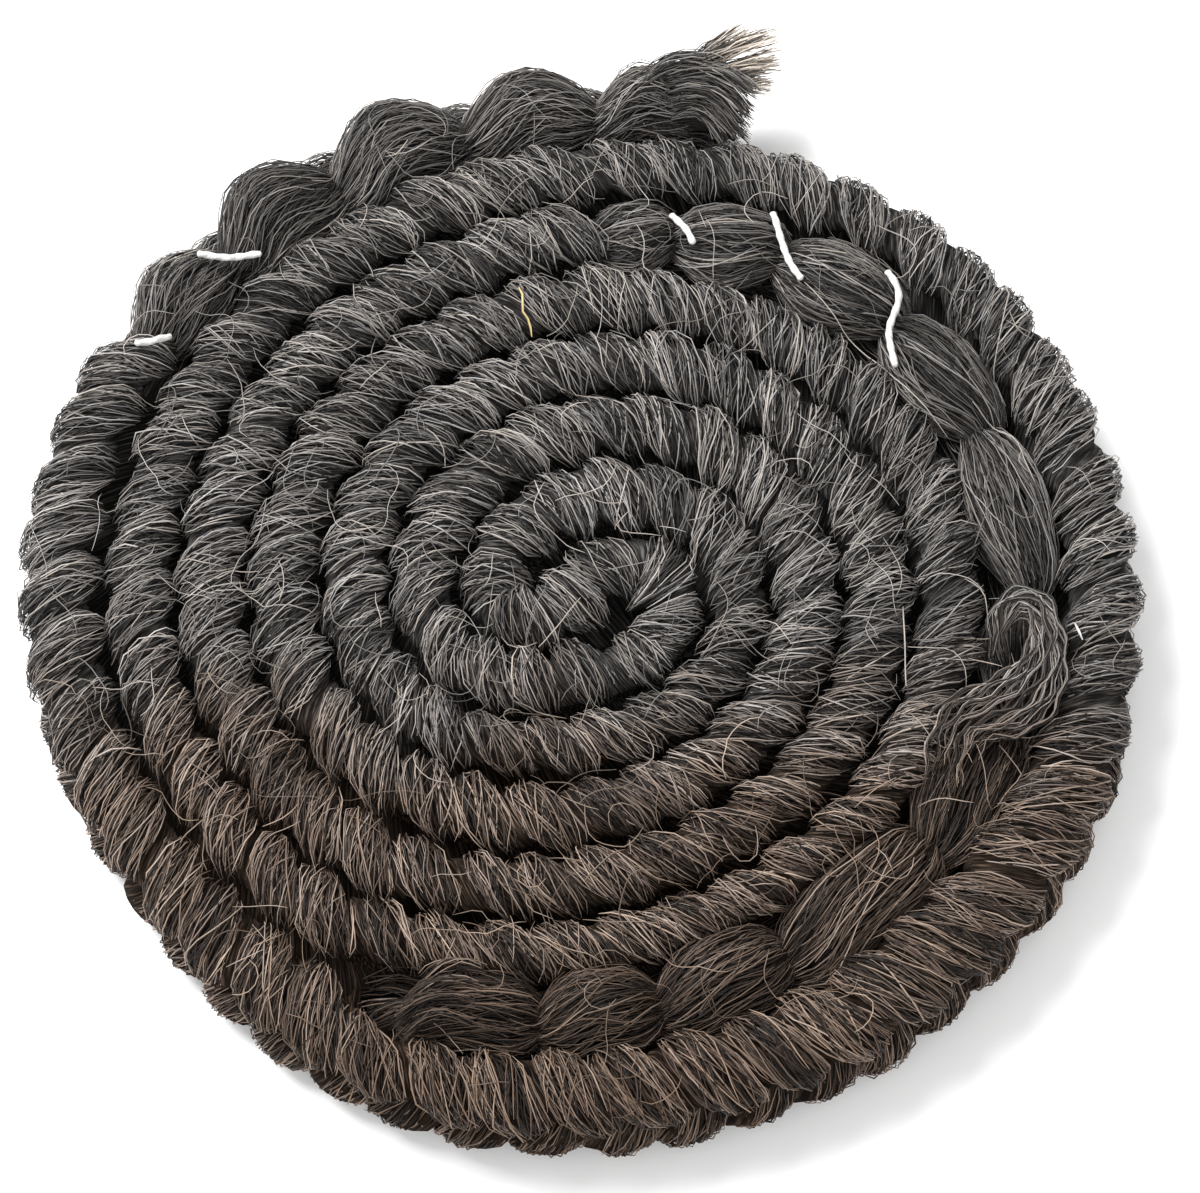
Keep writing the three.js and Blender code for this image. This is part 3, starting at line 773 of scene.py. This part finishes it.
# tone 0 to 1, darkest to palest: wool is a mixture of nearly black, grey and a few pale fibres
WOOL_TONES = [
    (0.00, (0.009, 0.0086, 0.0082)),
    (0.32, (0.014, 0.0135, 0.013)),
    (0.48, (0.060, 0.057, 0.054)),
    (0.68, (0.195, 0.186, 0.177)),
    (1.00, (0.480, 0.457, 0.430)),
]
COOL_TINT, WARM_TINT = (0.98, 0.99, 1.03), (1.06, 0.99, 0.93)


def wool_finish(name, tones):
    """Matt wool: each fibre has its own tone and warmth, and patches of the disc are browner"""
    def wool_colour(bench):
        tone, warmth = (bench.node("ShaderNodeAttribute", {"attribute_name": key}).of("Fac")
                        for key in ("tone", "warmth"))
        colour = bench.node("ShaderNodeValToRGB", {"stops": tones}, {"Fac": tone})
        return browned_and_front_shaded(bench, colour * between(bench, warmth, COOL_TINT, WARM_TINT))

    return new_material(name, {"Roughness": 0.6, "Specular IOR Level": 0.3}, wool_colour)


loop_wool = wool_finish("wool_fibre", WOOL_TONES)

LOCK_POINTS = 15
LOCK_SINK, FOOT_SINK = 1.15, 1.4  # from the top of a lock down to its edges
SIDE_RISE = 0.3  # how much less that is where the lock turns down
LOCK_PROUD = 0.2  # how high a lock stands over the row's plain surface
LOCK_LAP, RIM_LAP = 1.12, 1.04  # a lock's width against its share of the row
DRAWN_IN = 0.5  # how much of that it loses where it turns down
UNEVEN = {"lift": 0.12, "shift": 0.05, "plump": 0.06}
MOST_UNEVEN = 0.25
# the arc that shows, in degrees from the crown or the sole, and the fibres to a millimetre of the braid
TIGHT_LOCKS = {
    "inner": {"row": "upper", "first": -98, "last": 98, "per_mm": 19},
    "rim": {"row": "upper", "first": -98, "last": 126, "per_mm": 20, "lap": RIM_LAP},
    "foot": {"row": "lower", "first": 24, "last": 168, "per_mm": 18, "deep": FOOT_SINK, "lap": RIM_LAP},
    "sole": {"row": "lower", "first": -70, "last": 70, "per_mm": 1.8},
}
FOOT_HABIT = {"Wander": 0.45 * MM, "Drift": 1.3, "Layers": 0.3, "Shortest": 0.45, "Step": 0.85 * MM}
SOLE_STEP = 1.6 * MM
by_hand = np.random.default_rng(seed=5)


def tight_guide(loop, row, first, last, per_mm, deep=LOCK_SINK, lap=LOCK_LAP):
    """The guide of one tight loop, over the string from one side of the braid to the other"""
    turns = np.linspace(math.radians(first), math.radians(last), LOCK_POINTS)
    lift, shift, plump = by_hand.normal(0, list(UNEVEN.values())).clip(-MOST_UNEVEN, MOST_UNEVEN)
    from_top = np.abs(turns - turns.mean()) / (turns[-1] - turns.mean())
    drawn_in = (1 + plump) * (lap - DRAWN_IN * smooth_step(from_top, 0.45, 1.0))
    sink = deep - SIDE_RISE * smooth_step(from_top, 0.6, 1.0)
    middle, before, after = (on_row(row, loop + share, turns, proud=-sink, full=1.0)
                             for share in (0.5 + shift, 1 - NEARLY_ONE, NEARLY_ONE))
    crown = on_row(row, loop + 0.5 + shift, turns, proud=LOCK_PROUD + lift, full=1.0)
    long = ROWS[row][loop, 1] - ROWS[row][loop, 0]
    return {"points": middle, "across": (after - before) / 2 * drawn_in[:, None], "proud": crown - middle,
            "fibres": round(per_mm * long)}


def tight_guides(kind, loops):
    return [tight_guide(loop, **TIGHT_LOCKS[kind]) for loop in loops]


def loops_of(row, where, state):
    """The numbers of a row's loops on the rim or inside it that are slack or tight"""
    on_rim, slack = ROWS[row][:, 0] < RIM_TURN, ROWS[row][:, 4] > 0
    return np.flatnonzero((on_rim == (where == "rim")) & (slack == (state == "slack")))


inner_guides = tight_guides("inner", loops_of("upper", "inside", "tight"))
inner_half = len(inner_guides) // 2
spin_fibres("inner_loops_1", inner_guides[:inner_half], loop_wool, Seed=21)
spin_fibres("inner_loops_2", inner_guides[inner_half:], loop_wool, Seed=41)
spin_fibres("rim_loops", tight_guides("rim", loops_of("upper", "rim", "tight")), loop_wool, Seed=61)
foot_guides = tight_guides("foot", loops_of("lower", "rim", "tight"))
spin_fibres("rim_feet", foot_guides, loop_wool, Seed=81, **FOOT_HABIT)
sole_guides = tight_guides("sole", range(len(ROWS["lower"])))
spin_fibres("sole", sole_guides, loop_wool, Step=SOLE_STEP, Seed=101)


# The slack loops
# Towards its two ends the braid has worked loose. Each loop there is one long plump lock whose fibres run
# along the braid, gathered at both ends, from one side of the string to the other.
SLACK_HABIT = {
    "Thickness": 0.115 * MM, "Seat From": -0.12 * math.pi, "Seat To": 1.12 * math.pi, "Strands": 30.0,
    "Strand Width": 1.3, "Twist": 0.5, "Drift": 1.6, "Wander": 1.1 * MM, "Waves": 280.0, "Layers": 0.45,
    "Shortest": 0.35, "Step": 1.25 * MM,
}
SLACK_POINTS = 20
SLACK_WIDE = 1.12  # width of a slack lock against the table's
SLACK_OVERLAP = 0.06  # how far it runs past each place where it is gathered, as a share of its length
SLACK_NECK = 0.25  # how full a loop still is where it is gathered
SLACK_PLUMP = {"upper": 0.7, "lower": 1.1}  # the lower, the more suddenly it swells from there
SLACK_PRESS = 0.9  # how far a slack lock may press into its neighbours
SLACK_MIDDLE = {"upper": 6.5, "lower": 3.1}  # the height at which its guide runs
SLACK_SOLE = 0.3
SLACK_TONES = [
    (0.00, (0.007, 0.0067, 0.0063)),
    (0.32, (0.012, 0.0115, 0.011)),
    (0.52, (0.045, 0.042, 0.039)),
    (0.78, (0.130, 0.123, 0.116)),
    (1.00, (0.360, 0.342, 0.320)),
]
# the pieces: name, row, place, fibres to a loop, seed
SLACK_PIECES = [
    ("outer_slack_loops", "upper", "rim", 330, 121),
    ("outer_slack_feet", "lower", "rim", 170, 131),
    ("inner_slack_loops", "upper", "inside", 330, 141),
    ("inner_slack_feet", "lower", "inside", 80, 151),
]


def slack_guide(row, loop, fibres):
    """The guide of one slack loop, along the braid between the two places where it is gathered"""
    start, end, wide, tall, _ = ROWS[row][loop]
    share = np.linspace(0, 1, SLACK_POINTS)
    along = start + (end - start) * ((1 + 2 * SLACK_OVERLAP) * share - SLACK_OVERLAP)
    eye = SLACK_NECK + (1 - SLACK_NECK) * np.abs(np.sin(math.pi * share)) ** SLACK_PLUMP[row]
    if start == 0:
        eye[share < 0.5] = np.maximum(eye[share < 0.5], FREE_END)
    down, left = sunk_by(row, loop)
    point, _, right = place(along)
    to_right, to_left = (np.minimum(SLACK_WIDE * wide / 2 * eye, room_at(along, side) + SLACK_PRESS)
                         for side in (1, -1))
    shift = (to_right - to_left) / 2 * eye + sideways(row, loop, share)
    high = SLACK_MIDDLE[row] - SLACK_DIP * (1 - eye)
    top = tall - down - SLACK_MIDDLE["upper"] if row == "upper" else SLACK_MIDDLE["lower"] - SLACK_SOLE
    return {"points": at_height(point + right * shift[:, None], high),
            "across": at_height(right * (to_right + to_left)[:, None] / 2, 0),
            "proud": at_height(np.zeros_like(right), top * eye), "fibres": round(fibres * left)}


slack_wool = wool_finish("slack_wool", SLACK_TONES)
for name, row, where, fibres, seed in SLACK_PIECES:
    slack_guides = [slack_guide(row, loop, fibres) for loop in loops_of(row, where, "slack")]
    spin_fibres(name, slack_guides, slack_wool, Seed=seed, **SLACK_HABIT)


# The bare strings
# Between slack loops the cotton string lies bare on the wool: two plies of white cotton, twisted together.
BARE_STRINGS = {
    "bare_string_1": [(-29.2, 27.6), (-26.9, 27.4), (-24.3, 27.7)],
    "bare_string_2": [(-33.6, 19.6), (-32.2, 20.0), (-31.0, 20.8)],
    "bare_string_3": [(7.0, 31.6), (8.0, 30.1), (8.7, 28.4)],
    "bare_string_4": [(14.8, 31.3), (15.5, 28.6), (16.1, 26.7), (16.9, 25.2)],
    "bare_string_5": [(23.4, 26.1), (24.3, 24.1), (23.5, 21.3), (23.9, 18.1)],
}
STRING_RADIUS = 0.29
STRING_END = 0.4  # how thick it is at its tips, as a share
STRING_SIDES = 12
STRING_LAY = {"step": 0.12, "lift": 0.5, "sag": 0.006, "pull": 600}  # it is pulled tight over the grooves
PLY_TWIST = 2.2  # length of one turn of the two plies
PLY_DEPTH = 0.10  # the groove between them, as a share of the radius
COTTON_TONES = [(0.3, (0.46, 0.45, 0.42)), (0.6, (0.72, 0.71, 0.69))]
LINT = 5000.0
LAID_POINTS = 200
SKY = 30

cover_points, cover_faces, _ = lobed_rope("upper", 0.0, 0.0)
wool_cover = BVHTree.FromPolygons([tuple(point) for point in cover_points], cover_faces)


def height_at(flat):
    """Height of the wool under each point of a line, or none where it has left the disc"""
    hits = [wool_cover.ray_cast(Vector((x, y, SKY)), Vector((0, 0, -1)))[0] for x, y in flat]
    return np.array([hit.z if hit else np.nan for hit in hits])


def laid(points, step, lift, sag, pull):
    """A line laid on the wool through the points. It sags a little into the grooves that it spans, and the
    longer the pull on it, in steps, the longer the grooves."""
    flat = even_steps(curve_through(points, LAID_POINTS), step)
    heights = height_at(flat)
    known = ~np.isnan(heights)
    steps = np.arange(len(flat))
    heights = np.interp(steps, steps[known], heights[known])
    for _ in range(pull):
        heights[1:-1] = np.maximum(heights[1:-1], (heights[:-2] + heights[2:]) / 2 - sag * step)
    return at_height(flat, softened(heights + lift, 2))


def twisted_string(points):
    """Points and faces of two plies twisted together along a line, drawn in at both ends"""
    line = laid(points, **STRING_LAY)
    ahead = unit(np.gradient(line, axis=0))
    right = unit(np.cross(ahead, (0, 0, 1)))
    up = np.cross(right, ahead)
    phi = np.linspace(0, 2 * math.pi, STRING_SIDES, endpoint=False)
    turned = 2 * math.pi * np.arange(len(line)) * STRING_LAY["step"] / PLY_TWIST
    radius = STRING_RADIUS * (1 - PLY_DEPTH + PLY_DEPTH * np.cos(2 * (phi - turned[:, None])))
    radius[[0, -1]] *= STRING_END
    rings = line[:, None] + (radius * np.cos(phi))[..., None] * right[:, None] \
        + (radius * np.sin(phi))[..., None] * up[:, None]
    return rings.reshape(-1, 3), tube_faces(len(rings), STRING_SIDES, clockwise=False)


def cotton_colour(bench):
    return bench.node("ShaderNodeValToRGB", {"stops": COTTON_TONES}, {"Fac": grain(bench, LINT, 2.0)})


cotton = new_material("white_cotton", {"Roughness": 0.8, "Specular IOR Level": 0.2}, cotton_colour)
for name, bare_points in BARE_STRINGS.items():
    string = new_piece("white_" + name, *twisted_string(bare_points), cotton)
    string.data.shade_smooth()
    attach(string, "root")
    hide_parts(name)


# The wavy lock
# At the right one loop has come right out. Its crimped wool stands up in a curl round a dark eye and sweeps
# away in a dozen wavy strands over the loops before it.
WAVY_EDGES = {
    "left": [(31.6, -5.9), (31.6, -4.3), (31.9, -3.1), (32.6, -2.4), (33.2, -2.9), (33.4, -4.2),
             (32.7, -5.9), (31.0, -7.3), (28.6, -8.4), (26.7, -9.4), (25.6, -11.2), (25.1, -13.4),
             (24.8, -16.4)],
    "right": [(30.5, -5.9), (30.3, -4.0), (30.8, -1.8), (32.3, -0.6), (34.2, -0.9), (35.3, -2.9),
              (35.8, -5.8), (35.4, -8.7), (33.9, -11.1), (31.8, -12.0), (29.8, -12.4), (28.9, -14.6),
              (28.2, -18.5)],
}
WAVY_HEIGHT = [7.6, 9.2, 9.9, 10.0, 9.9, 9.8, 9.7, 9.7, 9.7, 9.6, 9.4, 9.1, 8.4]
WAVY_POINTS = 60
WAVY_STRANDS = 13
WAVY_UNEVEN = {"shift": 0.3, "sunk": -0.5, "raised": 0.2, "shorter": 9}  # shift in strands, the last in points
WAVY_STRAND = {"wide": 0.34, "thick": 0.4, "fibres": 14}
WAVY_HABIT = {
    "Seat From": -0.5 * math.pi, "Seat To": 1.5 * math.pi, "Drift": 1.0, "Wander": 0.45 * MM,
    "Waves": 300.0, "Layers": 0.6, "Shortest": 0.5, "Step": 0.8 * MM,
}
CRIMP = {"long": 3.1, "swing": 0.22, "late": 0.35}  # a wave's length and reach, and each strand's delay


def wavy_strand(order):
    """The guide of one strand, so many shares from the lock's left edge to its right one"""
    shift = WAVY_UNEVEN["shift"]
    share = (order + by_hand.uniform(-shift, shift)) / (WAVY_STRANDS - 1)
    left, right = (curve_through(WAVY_EDGES[side], WAVY_POINTS) for side in ("left", "right"))
    high = curve_through([(up, 0) for up in WAVY_HEIGHT], WAVY_POINTS)[:, 0]
    high = high + by_hand.uniform(WAVY_UNEVEN["sunk"], WAVY_UNEVEN["raised"])
    flat = mixed(left, right, share)
    ahead = np.gradient(flat, axis=0)
    side = to_the_right(unit(ahead))
    reach = np.cumsum(np.linalg.norm(ahead, axis=1))
    wave = CRIMP["swing"] * np.sin(2 * math.pi * reach / CRIMP["long"] + CRIMP["late"] * order)
    cut = len(flat) - by_hand.integers(0, WAVY_UNEVEN["shorter"])
    return {"points": at_height(flat + side * wave[:, None], high)[:cut],
            "across": at_height(side * WAVY_STRAND["wide"] / 2, 0)[:cut],
            "proud": np.tile((0, 0, WAVY_STRAND["thick"]), (cut, 1)), "fibres": WAVY_STRAND["fibres"]}


wavy_guides = [wavy_strand(order) for order in range(WAVY_STRANDS)]
spin_fibres("wavy_lock", wavy_guides, loop_wool, Seed=161, **WAVY_HABIT)


# The frayed ends
# The braid is cut through at the top and its wool has sprung open in a ragged tuft, pale and flaring above,
# dark and straight below. At its other end a few loose locks reach into the dark gap before it.
FRAYED_LOCKS = [  # root, tip and width of each lock
    ((7.4, 43.8, 8.0), (13.2, 47.5, 8.6), 1.5),
    ((7.6, 43.7, 7.2), (14.4, 47.4, 7.6), 1.5),
    ((7.9, 43.5, 8.4), (15.5, 46.8, 9.0), 1.6),
    ((8.0, 43.2, 7.0), (16.0, 45.8, 7.4), 1.6),
    ((8.2, 43.0, 8.0), (15.9, 44.6, 8.2), 1.6),
    ((8.2, 42.6, 6.0), (15.4, 45.4, 5.4), 1.8),
    ((8.2, 42.8, 6.8), (15.3, 43.2, 6.8), 1.7),
    ((7.7, 43.4, 6.0), (13.9, 46.2, 5.0), 1.8),
]
CUT_LOCKS = [
    ((4.4, 42.2, 9.1), (11.2, 43.5, 8.8), 2.2),
    ((4.6, 43.0, 7.6), (11.0, 44.3, 7.6), 2.4),
    ((7.0, 38.6, 5.6), (11.6, 37.9, 3.8), 2.4),
    ((6.6, 43.0, 8.8), (14.0, 42.3, 7.8), 1.9),
    ((6.6, 42.4, 9.2), (13.5, 41.2, 7.8), 1.9),
    ((6.6, 41.8, 9.4), (13.1, 40.3, 7.8), 1.9),
    ((6.6, 41.2, 9.4), (12.6, 39.5, 7.6), 1.9),
    ((6.8, 40.4, 9.2), (12.0, 38.8, 7.4), 1.9),
    ((7.0, 39.6, 8.6), (11.2, 38.4, 7.0), 1.8),
    ((8.0, 42.6, 6.6), (13.7, 42.6, 5.6), 2.2),
    ((8.2, 41.6, 6.2), (13.4, 40.9, 5.0), 2.2),
    ((8.2, 40.6, 6.0), (12.4, 39.4, 4.6), 2.2),
    ((8.2, 42.4, 4.2), (13.5, 43.3, 3.0), 2.4),
    ((8.2, 41.4, 3.6), (13.4, 41.5, 2.2), 2.4),
    ((8.2, 40.5, 3.4), (12.5, 40.0, 2.0), 2.4),
]
LOOSE_LOCKS = [
    ((-6.6, -29.9, 8.8), (-11.6, -31.2, 7.4), 1.6),
    ((-6.8, -31.3, 9.3), (-13.0, -33.0, 7.6), 1.8),
    ((-7.0, -32.7, 9.4), (-13.6, -34.0, 7.8), 1.8),
    ((-7.4, -34.0, 9.0), (-12.6, -34.8, 8.2), 1.6),
    ((-9.4, -30.6, 5.0), (-16.4, -28.6, 2.6), 3.2),
    ((-9.4, -32.2, 4.6), (-17.0, -30.4, 2.4), 3.2),
    ((-9.4, -33.2, 6.0), (-15.4, -32.4, 4.0), 2.8),
]
FRAYED_POINTS = 9
FRAYED_LOCK = {"arch": 0.5, "thick": 0.9, "root": 0.6, "tip": 1.2}  # the last two as shares of its size
FRAYED_HABIT = {
    "Thickness": 0.115 * MM, "Seat From": -0.5 * math.pi, "Seat To": 1.5 * math.pi, "Drift": 1.6,
    "Layers": 0.9, "Shortest": 0.5, "Wander": 1.3 * MM, "Waves": 300.0,
}
FRAYED_TONES = [
    (0.00, (0.010, 0.009, 0.008)),
    (0.30, (0.040, 0.036, 0.032)),
    (0.55, (0.120, 0.108, 0.096)),
    (0.78, (0.330, 0.295, 0.250)),
    (1.00, (0.680, 0.620, 0.545)),
]


def frayed_guides(locks, fibres, bow):
    """The guides of locks that bow to their left and open out from root to tip"""
    share = np.linspace(0, 1, FRAYED_POINTS)[:, None]
    open_out = mixed(FRAYED_LOCK["root"], FRAYED_LOCK["tip"], share)
    guides = []
    for root, tip, wide in locks:
        line = np.array(root) * (1 - share) + np.array(tip) * share
        side = to_the_right((np.array(tip) - root)[:2] / math.dist(tip[:2], root[:2]))
        line += np.sin(math.pi * share) * at_height(-bow * side, FRAYED_LOCK["arch"])
        guides.append({"points": line, "across": open_out * wide / 2 * at_height(side, 0),
                       "proud": open_out * (0, 0, FRAYED_LOCK["thick"]), "fibres": fibres})
    return guides


frayed_wool = wool_finish("frayed_wool", FRAYED_TONES)
frayed = spin_fibres("frayed_tuft", frayed_guides(FRAYED_LOCKS, fibres=38, bow=0.0), frayed_wool,
                     slot="frayed_wool", Seed=181, **FRAYED_HABIT, **{"Paler Tip": 0.9})
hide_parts("frayed_end")
spin_fibres("cut_wool", frayed_guides(CUT_LOCKS, fibres=44, bow=1.2), slack_wool,
            Seed=186, **FRAYED_HABIT, **{"Paler Tip": 0.25})
spin_fibres("loose_wool", frayed_guides(LOOSE_LOCKS, fibres=40, bow=-1.1), slack_wool,
            Seed=191, **FRAYED_HABIT)


# The stray hairs
# Fine pale hairs have worked out of the wool all over and lie across the loops. A few are long enough to be
# told apart: two loops of hair, a golden one and a white fleck.
HAIR_COUNT = 560
HAIR_LENGTH = {"least": 1.5, "most": 4.5, "few longer": 3.5}
HAIR_SCATTER = 1.2  # how far from the middle of the braid one starts
HAIR_BEND, HAIR_CRINKLE = 0.35, 0.3  # how much one turns at each millimetre, evenly and by chance
HAIR_LAY = {"step": 0.35, "lift": 0.25, "pull": 4}
HAIR_SAG, LONG_SAG = 0.15, 0.1
HAIR_SEAT = 0.02  # half the width of the lock that a single hair makes up
HAIR_HABIT = {"Strands": 1.0, "Drift": 0.0, "Wander": 0.0, "Layers": 0.0, "Shortest": 1.0,
              "Step": 0.7 * MM, "Taper": 0.5}
STRAY_TONES = [(0.0, (0.08, 0.075, 0.07)), (0.5, (0.22, 0.21, 0.195)), (1.0, (0.52, 0.49, 0.45))]
LONG_TONES = [(0.0, (0.26, 0.24, 0.22)), (1.0, (0.48, 0.45, 0.41))]
GOLDEN_TONES = [(0.0, (0.46, 0.36, 0.15)), (1.0, (0.58, 0.45, 0.21))]
LONG_HAIRS = [
    [(-23.4, 7.4), (-23.9, 4.2), (-25.1, 2.7), (-25.7, 1.3), (-25.9, 0.4), (-24.6, -0.5), (-23.5, -0.2),
     (-22.7, 1.1), (-21.9, 2.2)],
    [(-2.6, 8.4), (-3.4, 6.5), (-2.8, 5.1), (-1.6, 4.3), (0.4, 2.7)],
    [(-3.0, -4.7), (0.1, -1.1)],
    [(3.8, 6.2), (2.8, 4.9), (6.1, 4.3)],
    [(-13.2, 37.0), (-14.0, 35.9), (-14.9, 35.6)],
    [(29.1, -12.7), (29.6, -14.4), (30.1, -17.3), (31.4, -15.9), (32.4, -14.8), (31.8, -13.6),
     (30.8, -12.6)],
    [(29.4, -12.0), (31.5, -11.7), (33.7, -11.7)],
    [(28.7, -5.8), (29.9, -5.9), (31.2, -6.4)],
    [(24.0, -1.6), (24.1, -4.7), (24.1, -7.8)],
    [(28.6, 0.5), (30.0, -0.3), (30.3, -1.9)],
    [(29.6, 15.2), (31.3, 13.7), (32.9, 12.1), (33.4, 10.4), (34.1, 8.6)],
    [(17.1, 25.0), (20.8, 20.8), (24.5, 16.7), (27.8, 13.2)],
    [(22.7, 29.9), (24.5, 29.0), (25.7, 27.7), (25.1, 26.2), (24.0, 25.6)],
]
GOLDEN_HAIR = [(-4.6, 24.6), (-4.2, 23.6), (-4.4, 22.9), (-3.8, 22.1), (-3.6, 21.0)]
WHITE_FLECK = [(36.7, -3.0), (37.2, -4.3)]


def stray_hair():
    """A hair that starts anywhere on the disc and bends as it goes"""
    length = by_hand.uniform(HAIR_LENGTH["least"], HAIR_LENGTH["most"]) \
        + HAIR_LENGTH["few longer"] * by_hand.random() ** 3
    heading = by_hand.uniform(0, 2 * math.pi)
    bend = by_hand.normal(0, HAIR_BEND)
    points = [place(by_hand.uniform(0, route_length))[0] + by_hand.normal(0, HAIR_SCATTER, 2)]
    for _ in range(max(2, round(length))):
        heading += bend + by_hand.normal(0, HAIR_CRINKLE)
        points.append(points[-1] + (math.cos(heading), math.sin(heading)))
    return points


def lay_hairs(name, lines, finish, thick, seed, sag=HAIR_SAG):
    """Single hairs laid on the wool"""
    guides = []
    for points in lines:
        line = laid(points, sag=sag, **HAIR_LAY)
        seat = np.tile((HAIR_SEAT, 0, 0), (len(line), 1))
        guides.append({"points": line, "across": seat, "proud": seat[:, ::-1], "fibres": 1})
    spin_fibres(name, guides, finish, Thickness=thick * MM, Seed=seed, **HAIR_HABIT)


strays = [stray_hair() for _ in range(HAIR_COUNT)]
on_disc = [line for line in strays if not np.isnan(height_at(line)).any()]
lay_hairs("stray_hairs", on_disc, wool_finish("stray_hair", STRAY_TONES), thick=0.08, seed=201)
lay_hairs("long_hairs", LONG_HAIRS, wool_finish("pale_hair", LONG_TONES), thick=0.11, seed=221,
          sag=LONG_SAG)
lay_hairs("golden_hair", [GOLDEN_HAIR], wool_finish("golden_hair", GOLDEN_TONES), thick=0.19, seed=241)
lay_hairs("white_fleck", [WHITE_FLECK], cotton, thick=0.42, seed=261)
